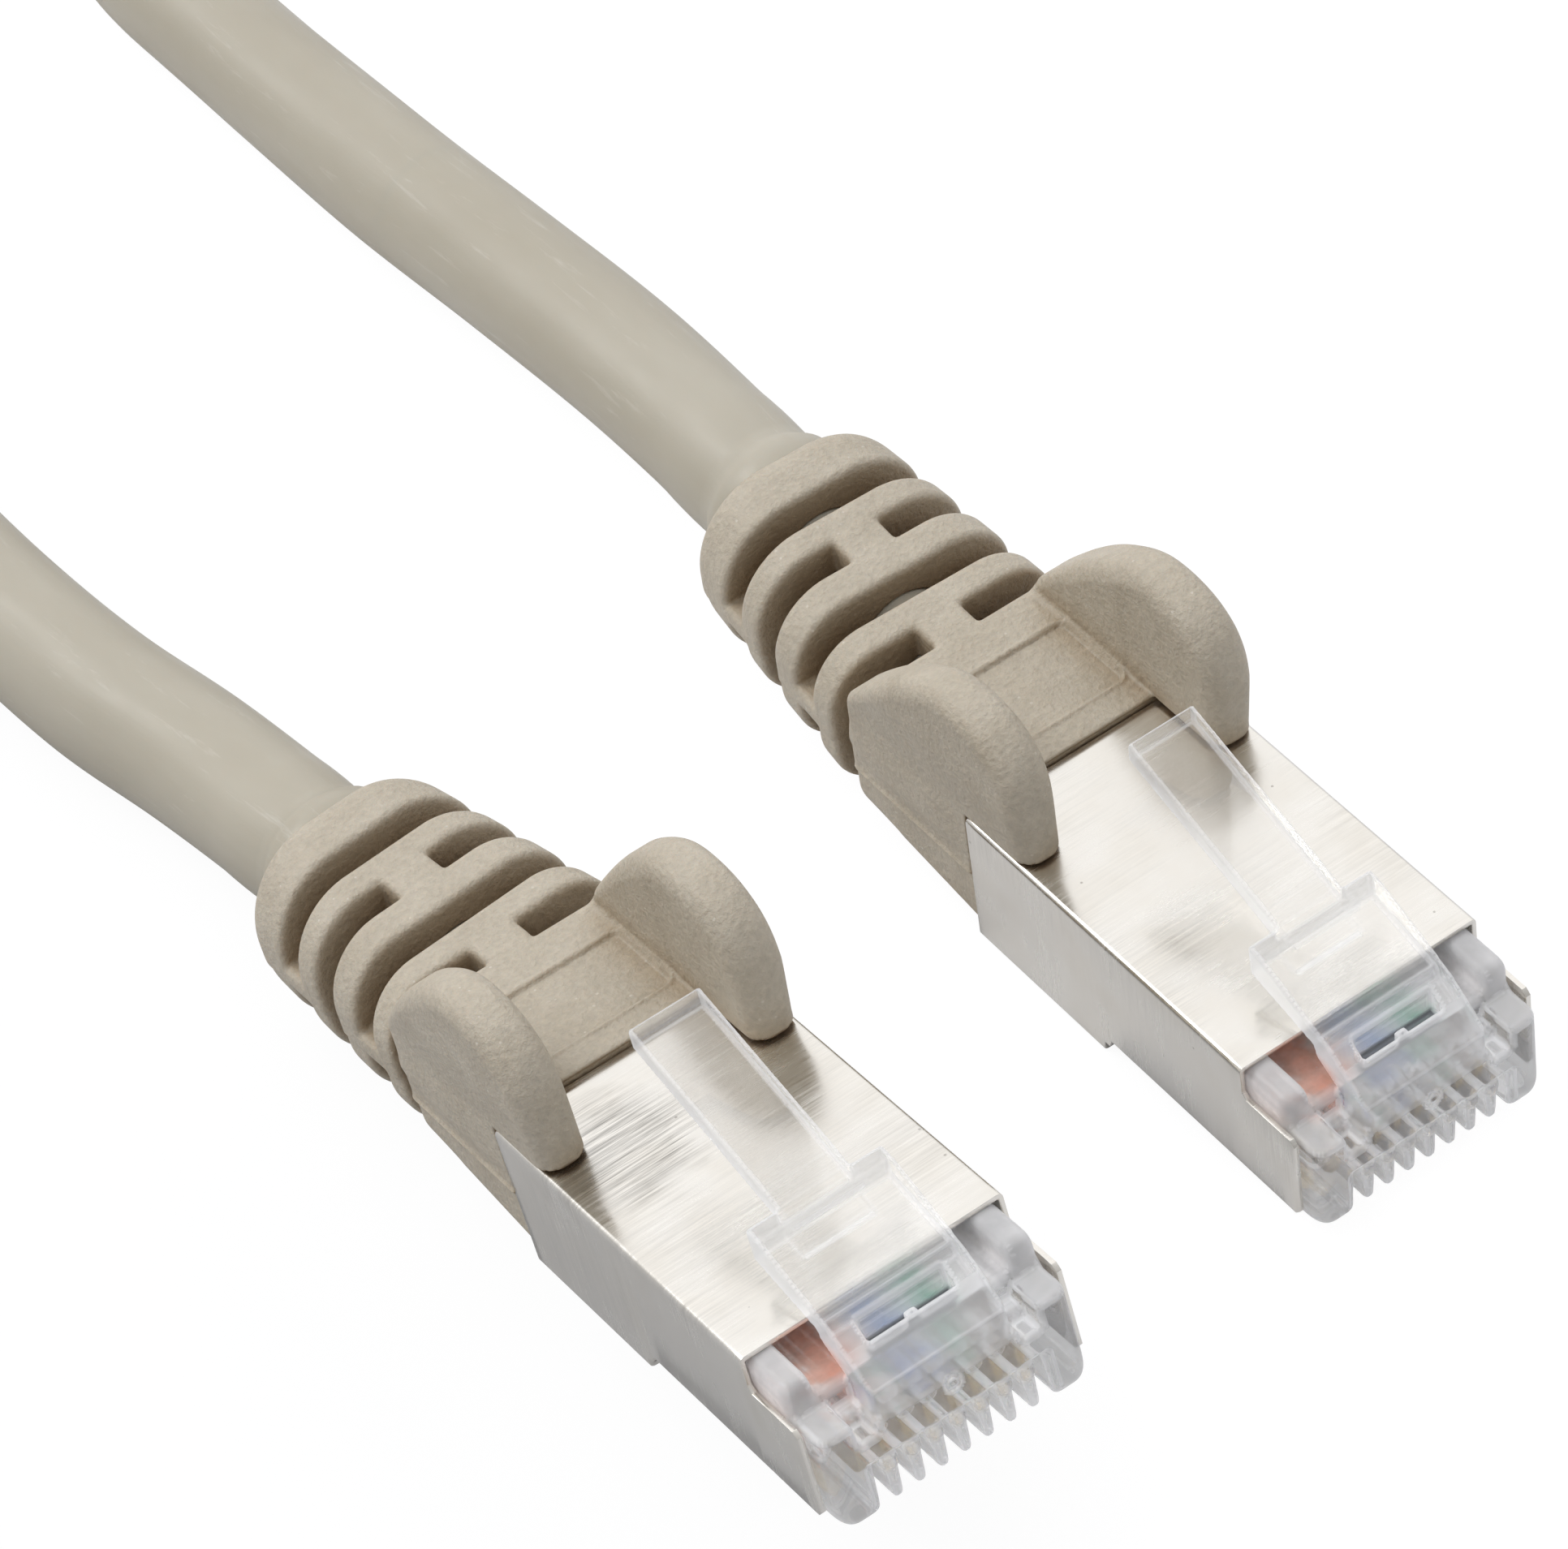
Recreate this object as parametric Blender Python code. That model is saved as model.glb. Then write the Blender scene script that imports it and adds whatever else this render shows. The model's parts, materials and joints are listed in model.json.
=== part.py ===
"""Shielded ethernet patch cable with two RJ45 (8P8C) plugs and snagless boots.

The two plugs lie side by side and point towards -Y. The cable leaves them towards +Y
in two legs, which a loop on the table joins. The origin is under the middle.

Units: the constants are millimetres, the scene is metres, +Z up.
Each plug has its own local frame: origin at the foot of the nose's front face,
+Y runs back along the plug towards the cable, +Z towards the latch, +X sideways.
A pair of numbers is a span (low, high) along the axis it is named for.
"""
import math

import bmesh
import bpy
from mathutils import Matrix, Vector

MM = 0.001

# ---- clear housing -----------------------------------------------------------
HOUSING_HALF_W = 5.5
HOUSING_LEN = 21.4
HOUSING_TOP = 6.25
NOSE_CORNER_R = 1.0
LEDGE_TOP = 4.3             # low ledge in front of the two shoulders
SHOULDER_FRONT = 1.8
DECK_TOP = 4.7              # floor under the latch, between the shoulders
DECK_HALF_W = 3.4
DECK_BACK = 6.2
ROOT_HALF_W = 3.05          # latch root and latch plate
ROOT_BACK = 1.5
FOOT_BEVEL = ((-0.4, -0.4), (0.75, -0.4), (-0.4, 0.75))   # (y, z) cut off the nose's foot
PINS = 8
PITCH = 1.02                # contact pitch
SLOT_W = 0.60               # contact slots
SLOT_BACK = 5.9
SLOT_TOP = 2.6
CHANNEL_HALF_W = 4.15       # space for the eight conductors over the contacts
CHANNEL_FRONT = 2.2
CHANNEL_Z = (2.45, 3.75)
CAVITY_HALF_W = 4.75        # rear cavity for the wire organiser
CAVITY_FRONT = 7.8
CAVITY_Z = (0.8, 5.6)

# ---- latch -------------------------------------------------------------------
LATCH_FRONT_Y = 1.75
LATCH_STEP_Y = 7.0          # rear faces of the two locking shoulders
LATCH_TAIL_HALF_W = 1.625
LATCH_TIP_Y = 15.9
LATCH_TIP_Z = 12.45
LATCH_TIP_T = 0.93
LATCH_HINGE = (0.0, 1.6, 5.6)

# ---- cable and its bending point ---------------------------------------------
CABLE_R = 3.05
CABLE_Z = 3.35              # cable axis where it enters the plug
HINGE_Y = 30.4              # the boot bends here, between grip and tail
BOOT_HINGE = (0.0, HINGE_Y, CABLE_Z)

# ---- shield ------------------------------------------------------------------
SHIELD_HALF_W = 5.85
SHIELD_T = 0.20
SHIELD_TOP = 6.57
SHIELD_FRONT = 4.2
SHIELD_LIP_Y = 1.03         # side plates reach further forward, low down
SHIELD_LIP_Z = 5.0
SHIELD_LOW = 0.65
SHIELD_WRAP_Y = 13.5        # from here back the shield also closes underneath
SHIELD_BOTTOM = -0.35
SHIELD_REAR = 21.66
CRIMP_R = 2.95
CRIMP_Y = (23.4, 27.8)
STRAP_HALF_W = 2.2          # strap from the shield's floor to the crimp collar
STRAP_INSET = 0.02          # keeps the strap's faces off the floor's faces
STRAP_OVERLAP = 0.6
STRAP_TAB_Y = (CRIMP_Y[0] + 0.2, CRIMP_Y[0] + 0.45)   # its upright end
STRAP_TAB_TOP = 0.75

# ---- contacts, conductors, organiser, cable end --------------------------------
CONTACT_T = 0.35
WIRE_D = 0.85
WIRE_Z = 3.1
WIRE_FRONT = 2.6
BUNDLE_R = 1.6
BUNDLE_Y = (21.6, 22.6)
BUNDLE_ANGLES = (180, 135, 225, 90, 270, 45, 315, 0)   # place of each conductor, degrees
ORGANISER_HALF_W = 4.5
ORGANISER_Y = (9.0, 13.0)
ORGANISER_Z = (1.9, 4.3)
ORGANISER_SLOT_HALF_W = 4.1
ORGANISER_SLOT_HALF_H = 0.52
CORE_R = 2.3
CORE_Y = (23.1, 28.6)
CORE_COLLAR_R = 3.0
CORE_COLLAR_Y = (28.3, 29.8)
BRAID_OUTER_R = 2.62
BRAID_INNER_R = 2.42
BRAID_Y = (23.6, 28.0)

# ---- boot --------------------------------------------------------------------
GRIP_Y = (22.05, 29.95)
GRIP_HALF_W = 5.8
GRIP_Z = (-0.3, 6.9)
GRIP_CHAMFER = 0.5          # top corners
GRIP_CORNER_R = 1.1         # bottom corners
GRIP_BORE_R = 3.2
EAR_INNER_X = 3.8
EAR_GAP = 0.18              # the ears lie just above the shield's top
STRAP_ROOM_SIDE = 0.3
STRAP_ROOM_Y = (21, CRIMP_Y[0] + 0.8)
STRAP_ROOM_Z = (-1, 1.4)

TAIL_FRONT = 31.1
TAIL_END = 44.8
TAIL_RISE = 0.75            # the cable axis climbs this much to the boot's end
TAIL_BORE_R = 3.25
TAIL_SEGMENTS = 28
# Section of the tail, as (at its front, at its end)
TAIL_HALF_W = (5.6, 4.95)
TAIL_HALF_H = (3.6, 4.1)
TAIL_CENTRE_Z = (3.3, 3.75)
TAIL_POWER = (3.6, 2.0)     # superellipse exponent: rounded rectangle, then oval
RIB_WIDTH = 2.05
GROOVE_WIDTH = 1.15
GROOVE_COUNT = 3
GROOVE_FLOOR = 0.72         # scale of the section at a groove's floor
FRONT_TAPER = 1.1           # length and end scale of the tapers at both ends
FRONT_SCALE = 0.80
END_TAPER = 1.0
END_SCALE = 0.84
FIRST_RIB_WIDTH = 1.0       # flat part of the first rib

# ---- cable run -----------------------------------------------------------------
TABLE_Z = 0.0
LYING_Z = TABLE_Z + CABLE_R   # axis of cable lying on the table
TAIL_STUB_END = 53.4        # end of the jacket length that leaves the boot, plug Y
STUB_START_LIFT = 0.03
LEG_GAP = 0.95
LEG_X_A = -15.45            # the two legs before the loop
LEG_X_B = 12.35
LOOP_START_Y = 91.5
BENDS = 8                   # jacket lengths in the loop
TURN = math.radians(36.0)   # bend at each of the loop's nine hinges
JOINT_CLEARANCE = 0.16
# Leg a between its ends: (x, y) of the axis, which lies at table height
LEG_A_KNOTS = ((-14.75, 56.0), (-15.3, 63.0), (LEG_X_A, 72.0), (LEG_X_A, 84.0))

# Where each plug lies: mm, and degrees for yaw (Z), pitch (X) and roll (Y).
# sway turns the strain relief about Z; levelling is the stub's rise past the boot's end.
PLUGS = {
    "a": {"at": (-12.892, -4.737, 8.142), "yaw": -1.458, "pitch": -10.095, "roll": -1.475,
          "sway": 5.0, "levelling": 0.30},
    "b": {"at": (12.3, 0.0, 0.4), "yaw": 0.0, "pitch": 0.0, "roll": 0.0,
          "sway": -1.6, "levelling": -0.1},
}
# Puts the origin under the middle of the object
SHIFT = Vector((1.55 * MM, -69.68 * MM, 0))

for old in list(bpy.data.objects):
    bpy.data.objects.remove(old, do_unlink=True)


def new_collection(name):
    collection = bpy.data.collections.new(name)
    bpy.context.scene.collection.children.link(collection)
    return collection


parts = new_collection("ethernet_patch_cable")
cutters = new_collection("cutters")


# ---- materials -------------------------------------------------------------------
def material(name, colour, roughness, metallic=0.0, transmission=0.0):
    mat = bpy.data.materials.new(name)
    mat.use_nodes = True
    shader = mat.node_tree.nodes["Principled BSDF"]
    shader.inputs["Base Color"].default_value = (*colour, 1.0)
    shader.inputs["Roughness"].default_value = roughness
    shader.inputs["Metallic"].default_value = metallic
    shader.inputs["Transmission Weight"].default_value = transmission
    mat.diffuse_color = (*colour, 1.0)
    return mat


CLEAR = material("clear_polycarbonate", colour=(0.86, 0.88, 0.90), roughness=0.12,
                 transmission=0.9)
CLEAR_LATCH = material("clear_latch", colour=(0.88, 0.90, 0.92), roughness=0.10,
                       transmission=0.9)
NICKEL = material("nickel_shield", colour=(0.72, 0.69, 0.64), roughness=0.28, metallic=1.0)
GOLD = material("gold_contact", colour=(0.85, 0.62, 0.25), roughness=0.25, metallic=1.0)
RUBBER = material("taupe_boot", colour=(0.33, 0.28, 0.22), roughness=0.62)
JACKET = material("grey_beige_jacket", colour=(0.42, 0.40, 0.34), roughness=0.45)
ORGANISER = material("organiser_plastic", colour=(0.80, 0.80, 0.78), roughness=0.35)
BRAID = material("tinned_braid", colour=(0.62, 0.62, 0.60), roughness=0.40, metallic=1.0)

# Name and colour of each conductor, from -X to +X
WIRE_COLOURS = (
    ("white_orange", (0.85, 0.62, 0.45)), ("orange", (0.80, 0.27, 0.06)),
    ("white_green", (0.62, 0.80, 0.66)), ("blue", (0.06, 0.19, 0.55)),
    ("white_blue", (0.60, 0.70, 0.85)), ("green", (0.05, 0.38, 0.17)),
    ("white_brown", (0.72, 0.62, 0.54)), ("brown", (0.24, 0.12, 0.06)),
)
WIRE_MATERIALS = [material("wire_" + name, colour=colour, roughness=0.4)
                  for name, colour in WIRE_COLOURS]


# ---- placing helpers ---------------------------------------------------------------
def at(x, y, z):
    return Matrix.Translation((x * MM, y * MM, z * MM))


def rotation(degrees, axis):
    return Matrix.Rotation(math.radians(degrees), 4, axis)


def new_object(name, data, collection=parts):
    obj = bpy.data.objects.new(name, data)
    collection.objects.link(obj)
    return obj


def place(name, mesh, parent, location=(0, 0, 0)):
    obj = new_object(name, mesh)
    obj.parent = parent
    obj.location = tuple(c * MM for c in location)
    return obj


def frame_empty(name, matrix, parent=None):
    obj = new_object(name, None)
    obj.empty_display_size = 0.004
    obj.parent = parent
    obj.matrix_basis = matrix
    return obj


# ---- modelling helpers ---------------------------------------------------------------
def middle(span):
    return (span[0] + span[1]) / 2 * MM


def length(span):
    return (span[1] - span[0]) * MM


def both_sides(half_width):
    return (-half_width, half_width)


def past(span, by=1.0):
    """A span made longer at both ends, so a cutter breaks right through."""
    return (span[0] - by, span[1] + by)


def between(ends, share):
    return ends[0] + (ends[1] - ends[0]) * share


def to_mesh(bm, name="shape"):
    mesh = bpy.data.meshes.new(name)
    bm.to_mesh(mesh)
    bm.free()
    return mesh


def boxes(*spans):
    """Separate boxes in one mesh, each given as its (x, y, z) spans."""
    bm = bmesh.new()
    for box in spans:
        verts = bmesh.ops.create_cube(bm, size=1.0)["verts"]
        bmesh.ops.scale(bm, vec=[length(span) for span in box], verts=verts)
        bmesh.ops.translate(bm, vec=[middle(span) for span in box], verts=verts)
    return to_mesh(bm)


def cylinder_y(radius, span, centre_z=0.0, segments=24):
    """A cylinder along Y."""
    bm = bmesh.new()
    bmesh.ops.create_cone(bm, cap_ends=True, cap_tris=False, segments=segments,
                          radius1=radius * MM, radius2=radius * MM, depth=length(span))
    bmesh.ops.rotate(bm, cent=(0, 0, 0), matrix=Matrix.Rotation(math.radians(-90), 3, "X"),
                     verts=bm.verts)
    bmesh.ops.translate(bm, vec=(0, middle(span), centre_z * MM), verts=bm.verts)
    return to_mesh(bm)


def face_outwards(bm):
    bmesh.ops.recalc_face_normals(bm, faces=bm.faces)
    if bm.calc_volume(signed=True) < 0:
        bmesh.ops.reverse_faces(bm, faces=bm.faces)


def evaluated_mesh(obj):
    """The object's final mesh, without materials; the object is removed."""
    bpy.context.view_layer.update()
    depsgraph = bpy.context.evaluated_depsgraph_get()
    mesh = bpy.data.meshes.new_from_object(obj.evaluated_get(depsgraph), depsgraph=depsgraph)
    mesh.transform(obj.matrix_world)
    mesh.materials.clear()
    bpy.data.objects.remove(obj, do_unlink=True)
    return mesh


def poly_curve(dimensions, points, cyclic):
    """A curve object of straight runs through (x, y, z) points."""
    curve = bpy.data.curves.new("path", "CURVE")
    curve.dimensions = dimensions
    spline = curve.splines.new("POLY")
    spline.points.add(len(points) - 1)
    for point, (x, y, z) in zip(spline.points, points):
        point.co = (x * MM, y * MM, z * MM, 1.0)
    spline.use_cyclic_u = cyclic
    return new_object("path", curve)


def curve_to_mesh(curve_obj):
    """The curve's solid, with its seams welded and its faces outwards."""
    mesh = evaluated_mesh(curve_obj)
    bm = bmesh.new()
    bm.from_mesh(mesh)
    bmesh.ops.remove_doubles(bm, verts=bm.verts, dist=0.000001)
    face_outwards(bm)
    bm.to_mesh(mesh)
    bm.free()
    return mesh


def prism(outline, span, plane):
    """A flat outline given depth: plane 'yz' runs along X, 'xy' along Z, 'xz' along Y."""
    obj = poly_curve("2D", [(u, v, 0.0) for u, v in outline], cyclic=True)
    obj.data.fill_mode = "BOTH"
    obj.data.extrude = length(span) / 2
    mid = middle(span)
    obj.matrix_world = {
        "yz": Matrix(((0, 0, 1, mid), (1, 0, 0, 0), (0, 1, 0, 0), (0, 0, 0, 1))),
        "xz": Matrix(((1, 0, 0, 0), (0, 0, -1, mid), (0, 1, 0, 0), (0, 0, 0, 1))),
        "xy": Matrix.Translation((0, 0, mid)),
    }[plane]
    return curve_to_mesh(obj)


def tube(points, radius, resolution=2):
    """A round wire or rod along straight runs between points."""
    obj = poly_curve("3D", points, cyclic=False)
    obj.data.bevel_depth = radius * MM
    obj.data.bevel_resolution = resolution
    obj.data.use_fill_caps = True
    return curve_to_mesh(obj)


def carve(base, *steps):
    """The base mesh with (boolean operation, tool mesh) steps applied in order."""
    obj = new_object("blank", base)
    tools = []
    for i, (operation, tool_mesh) in enumerate(steps):
        tool = new_object(f"tool_{i}", tool_mesh, cutters)
        tools.append(tool)
        modifier = obj.modifiers.new(f"step_{i}", "BOOLEAN")
        modifier.operation = operation
        modifier.solver = "EXACT"
        modifier.object = tool
    mesh = evaluated_mesh(obj)
    for tool in tools:
        bpy.data.objects.remove(tool, do_unlink=True)
    bm = bmesh.new()
    bm.from_mesh(mesh)
    bmesh.ops.dissolve_limit(bm, angle_limit=math.radians(0.2), verts=bm.verts, edges=bm.edges)
    bm.to_mesh(mesh)
    bm.free()
    return mesh


def arc(centre_u, centre_v, radius, start, end, steps):
    """Points on an arc from start to end, in degrees."""
    angles = [math.radians(start + (end - start) * i / steps) for i in range(steps + 1)]
    return [(centre_u + radius * math.cos(angle), centre_v + radius * math.sin(angle))
            for angle in angles]


def finish(name, mesh, mat, smooth=False):
    mesh.name = name
    mesh.materials.append(mat)
    if smooth:
        mesh.shade_smooth()
        mesh.set_sharp_from_angle(angle=math.radians(35))
    return mesh


def pin_x(i):
    return (i - (PINS - 1) / 2) * PITCH


# ---- plug pieces -----------------------------------------------------------------------
def housing_mesh():
    """Clear body with a rounded nose, latch root, contact slots and rear cavity."""
    corner_x = HOUSING_HALF_W - NOSE_CORNER_R
    plan = [(HOUSING_HALF_W, HOUSING_LEN), (-HOUSING_HALF_W, HOUSING_LEN)]
    plan += arc(-corner_x, NOSE_CORNER_R, NOSE_CORNER_R, 180, 270, 4)
    plan += arc(corner_x, NOSE_CORNER_R, NOSE_CORNER_R, 270, 360, 4)
    # (y, z)
    root_side = [(0.0, 3.0), (ROOT_BACK, 3.0), (ROOT_BACK, 6.62),
                 (0.9, 6.15), (0.35, 5.5), (0.0, 4.85)]
    front = boxes(((-8, 8), (-2, SHOULDER_FRONT), (LEDGE_TOP, 9)))
    deck = boxes((both_sides(DECK_HALF_W), (-3, DECK_BACK), (DECK_TOP, 9.5)))
    cavity = boxes((both_sides(CAVITY_HALF_W), (CAVITY_FRONT, HOUSING_LEN + 2), CAVITY_Z))
    # The channel runs on into the cavity
    channel = boxes((both_sides(CHANNEL_HALF_W), (CHANNEL_FRONT, CAVITY_FRONT + 0.6), CHANNEL_Z))
    slots = boxes(*[
        ((pin_x(i) - SLOT_W / 2, pin_x(i) + SLOT_W / 2), (-1.0, SLOT_BACK), (-1.0, SLOT_TOP))
        for i in range(PINS)])
    mesh = carve(
        prism(plan, (0.0, HOUSING_TOP), "xy"),
        ("DIFFERENCE", front),
        ("DIFFERENCE", deck),
        ("UNION", prism(root_side, both_sides(ROOT_HALF_W), "yz")),
        ("DIFFERENCE", prism(FOOT_BEVEL, (-9, 9), "yz")),
        ("DIFFERENCE", cavity),
        ("DIFFERENCE", channel),
        ("DIFFERENCE", slots))
    return finish("housing", mesh, CLEAR)


def latch_mesh():
    """Wide ramp, two locking shoulders and a narrow finger tail; origin at its hinge."""
    # (y, z)
    side = [(LATCH_FRONT_Y, 5.35), (3.2, 6.1), (3.25, 6.85),
            (LATCH_STEP_Y, 8.05), (LATCH_STEP_Y, 8.3),
            (LATCH_TIP_Y, LATCH_TIP_Z - LATCH_TIP_T), (LATCH_TIP_Y, LATCH_TIP_Z),
            (6.7, 9.22), (2.2, 7.1), (LATCH_FRONT_Y, 6.8)]
    trim = boxes(((LATCH_TAIL_HALF_W, 5), (LATCH_STEP_Y, 20), (0, 20)),
                 ((-5, -LATCH_TAIL_HALF_W), (LATCH_STEP_Y, 20), (0, 20)))
    mesh = carve(prism(side, both_sides(ROOT_HALF_W), "yz"), ("DIFFERENCE", trim))
    mesh.transform(at(*LATCH_HINGE).inverted())
    return finish("latch", mesh, CLEAR_LATCH)


def shield_mesh():
    """Folded sheet sleeve, with a strap and a crimp collar behind it."""
    # (y, z)
    side = [(SHIELD_REAR, SHIELD_BOTTOM), (SHIELD_REAR, SHIELD_TOP),
            (SHIELD_FRONT, SHIELD_TOP), (SHIELD_FRONT, SHIELD_LIP_Z),
            (SHIELD_LIP_Y, SHIELD_LIP_Z), (SHIELD_LIP_Y, SHIELD_LOW),
            (SHIELD_WRAP_Y, SHIELD_LOW), (SHIELD_WRAP_Y, SHIELD_BOTTOM)]
    inner_x = both_sides(SHIELD_HALF_W - SHIELD_T)
    inner_top = SHIELD_TOP - SHIELD_T
    floor_top = SHIELD_BOTTOM + SHIELD_T
    # The two hollows overlap, so no skin is left between them
    hollow_front = boxes((inner_x, (-1, SHIELD_WRAP_Y + 0.2), (-3, inner_top)))
    hollow_rear = boxes((inner_x, (SHIELD_WRAP_Y - 0.1, SHIELD_REAR + 1),
                         (floor_top, inner_top)))
    strap_front = SHIELD_REAR - STRAP_OVERLAP
    strap_low = SHIELD_BOTTOM + STRAP_INSET
    strap_high = floor_top - STRAP_INSET
    tab_front, tab_back = STRAP_TAB_Y
    strap_side = [(strap_front, strap_low), (tab_back, strap_low), (tab_back, STRAP_TAB_TOP),
                  (tab_front, STRAP_TAB_TOP), (tab_front, strap_high),
                  (strap_front, strap_high)]
    mesh = carve(
        prism(side, both_sides(SHIELD_HALF_W), "yz"),
        ("DIFFERENCE", hollow_front),
        ("DIFFERENCE", hollow_rear),
        ("UNION", prism(strap_side, both_sides(STRAP_HALF_W), "yz")),
        ("UNION", cylinder_y(CRIMP_R, CRIMP_Y, CABLE_Z)),
        ("DIFFERENCE", cylinder_y(CRIMP_R - SHIELD_T, past(CRIMP_Y), CABLE_Z)))
    return finish("shield", mesh, NICKEL)


def contact_mesh():
    """Flat blade with two points on its top edge."""
    # (y, z)
    side = [(1.55, 1.45), (1.7, 1.0), (2.1, 0.72), (5.6, 0.72), (5.6, 2.1), (5.3, 2.52),
            (5.0, 2.1), (3.6, 2.1), (3.3, 2.52), (3.0, 2.1), (1.55, 2.1)]
    return finish("contact", prism(side, both_sides(CONTACT_T / 2), "yz"), GOLD)


def conductor_mesh(i):
    """From the flat row over the contacts to the round bundle at the cable."""
    angle = math.radians(BUNDLE_ANGLES[i])
    row_x = pin_x(i)
    bundle_x = BUNDLE_R * math.cos(angle)
    bundle_z = CABLE_Z + BUNDLE_R * math.sin(angle)
    points = [(row_x, WIRE_FRONT, WIRE_Z), (row_x, ORGANISER_Y[1] + 0.3, WIRE_Z),
              (bundle_x, BUNDLE_Y[0], bundle_z), (bundle_x, BUNDLE_Y[1], bundle_z)]
    return finish(f"conductor_{i + 1}", tube(points, WIRE_D / 2), WIRE_MATERIALS[i], smooth=True)


def organiser_mesh():
    """Block with one wide slot for the row of conductors."""
    slot_z = (WIRE_Z - ORGANISER_SLOT_HALF_H, WIRE_Z + ORGANISER_SLOT_HALF_H)
    mesh = carve(
        boxes((both_sides(ORGANISER_HALF_W), ORGANISER_Y, ORGANISER_Z)),
        ("DIFFERENCE", boxes((both_sides(ORGANISER_SLOT_HALF_W), past(ORGANISER_Y), slot_z))))
    return finish("organiser", mesh, ORGANISER)


def cable_end_mesh():
    """Stripped core with the jacket's collar behind it."""
    mesh = carve(
        cylinder_y(CORE_R, CORE_Y, CABLE_Z, segments=20),
        ("UNION", cylinder_y(CORE_COLLAR_R, CORE_COLLAR_Y, CABLE_Z, segments=20)))
    return finish("core_end", mesh, JACKET, smooth=True)


def braid_mesh():
    mesh = carve(
        cylinder_y(BRAID_OUTER_R, BRAID_Y, CABLE_Z, segments=20),
        ("DIFFERENCE", cylinder_y(BRAID_INNER_R, past(BRAID_Y), CABLE_Z, segments=20)))
    return finish("braid", mesh, BRAID, smooth=True)


def boot_grip_mesh():
    """Sleeve behind the shield, with two ears that stand up and reach forward over it."""
    bottom, top = GRIP_Z
    chamfer_x = GRIP_HALF_W - GRIP_CHAMFER
    chamfer_z = top - GRIP_CHAMFER
    corner_x = GRIP_HALF_W - GRIP_CORNER_R
    corner_z = bottom + GRIP_CORNER_R
    section = [(-chamfer_x, top), (-GRIP_HALF_W, chamfer_z)]
    section += arc(-corner_x, corner_z, GRIP_CORNER_R, 180, 270, 3)
    section += arc(corner_x, corner_z, GRIP_CORNER_R, 270, 360, 3)
    section += [(GRIP_HALF_W, chamfer_z), (chamfer_x, top)]
    ear_low = SHIELD_TOP + EAR_GAP
    # (y, z)
    ear_side = [(18.2, ear_low), (23.0, ear_low), (23.0, 5.6), (29.6, 5.6), (29.6, top),
                (28.6, 7.6), (26.6, 9.4), (24.6, 11.3), (23.2, 12.3), (21.6, 12.7),
                (20.0, 12.3), (18.8, 11.2), (18.1, 9.6), (17.9, 7.6)]
    strap_room = boxes((both_sides(STRAP_HALF_W + STRAP_ROOM_SIDE), STRAP_ROOM_Y, STRAP_ROOM_Z))
    mesh = carve(
        prism(section, GRIP_Y, "xz"),
        ("UNION", prism(ear_side, (EAR_INNER_X, GRIP_HALF_W), "yz")),
        ("UNION", prism(ear_side, (-GRIP_HALF_W, -EAR_INNER_X), "yz")),
        ("DIFFERENCE", cylinder_y(GRIP_BORE_R, past(GRIP_Y), CABLE_Z)),
        ("DIFFERENCE", strap_room))
    return finish("grip", mesh, RUBBER)


# ---- boot tail: ribbed strain relief ---------------------------------------------------
def tail_angles():
    return [2 * math.pi * k / TAIL_SEGMENTS for k in range(TAIL_SEGMENTS)]


def tail_section(y, scale):
    """Outer ring at y: a superellipse about the tail's own centre."""
    share = (y - TAIL_FRONT) / (TAIL_END - TAIL_FRONT)
    half_w = between(TAIL_HALF_W, share) * scale
    half_h = between(TAIL_HALF_H, share) * scale
    centre_z = between(TAIL_CENTRE_Z, share)
    power = between(TAIL_POWER, share)
    ring = []
    for angle in tail_angles():
        cos, sin = math.cos(angle), math.sin(angle)
        reach = (abs(cos) ** power + abs(sin) ** power) ** (-1 / power)
        ring.append((half_w * reach * cos, y, centre_z + half_h * reach * sin))
    return ring


def tail_bore(y):
    """Round ring of the bore, about the climbing cable axis."""
    axis_z = CABLE_Z + TAIL_RISE * (y - HINGE_Y) / (TAIL_END - HINGE_Y)
    return [(TAIL_BORE_R * math.cos(angle), y, axis_z + TAIL_BORE_R * math.sin(angle))
            for angle in tail_angles()]


def boot_tail_mesh():
    """Lofted outside with square grooves, closed through the bore; origin at the hinge."""
    # (y, scale of the section)
    stations = [(TAIL_FRONT, FRONT_SCALE), (TAIL_FRONT + FRONT_TAPER, 1.0)]
    for i in range(GROOVE_COUNT):
        front = TAIL_FRONT + FRONT_TAPER + FIRST_RIB_WIDTH + i * (RIB_WIDTH + GROOVE_WIDTH)
        back = front + GROOVE_WIDTH
        stations += [(front, 1.0), (front, GROOVE_FLOOR), (back, GROOVE_FLOOR), (back, 1.0)]
    stations += [(TAIL_END - END_TAPER, 1.0), (TAIL_END, END_SCALE)]
    outlines = [tail_section(y, scale) for y, scale in stations]
    outlines += [tail_bore(TAIL_END), tail_bore(TAIL_FRONT)]

    bm = bmesh.new()
    rings = [[bm.verts.new((x * MM, y * MM, z * MM)) for x, y, z in outline]
             for outline in outlines]
    for ring, following in zip(rings, rings[1:] + rings[:1]):
        for k in range(TAIL_SEGMENTS):
            after = (k + 1) % TAIL_SEGMENTS
            bm.faces.new((ring[k], ring[after], following[after], following[k]))
    face_outwards(bm)
    mesh = to_mesh(bm)
    mesh.transform(at(*BOOT_HINGE).inverted())
    return finish("boot_tail", mesh, RUBBER)


# ---- plugs -------------------------------------------------------------------------------
def plug_matrix(plug):
    return (Matrix.Translation(SHIFT) @ at(*plug["at"]) @ rotation(plug["yaw"], "Z")
            @ rotation(plug["pitch"], "X") @ rotation(plug["roll"], "Y"))


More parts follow.
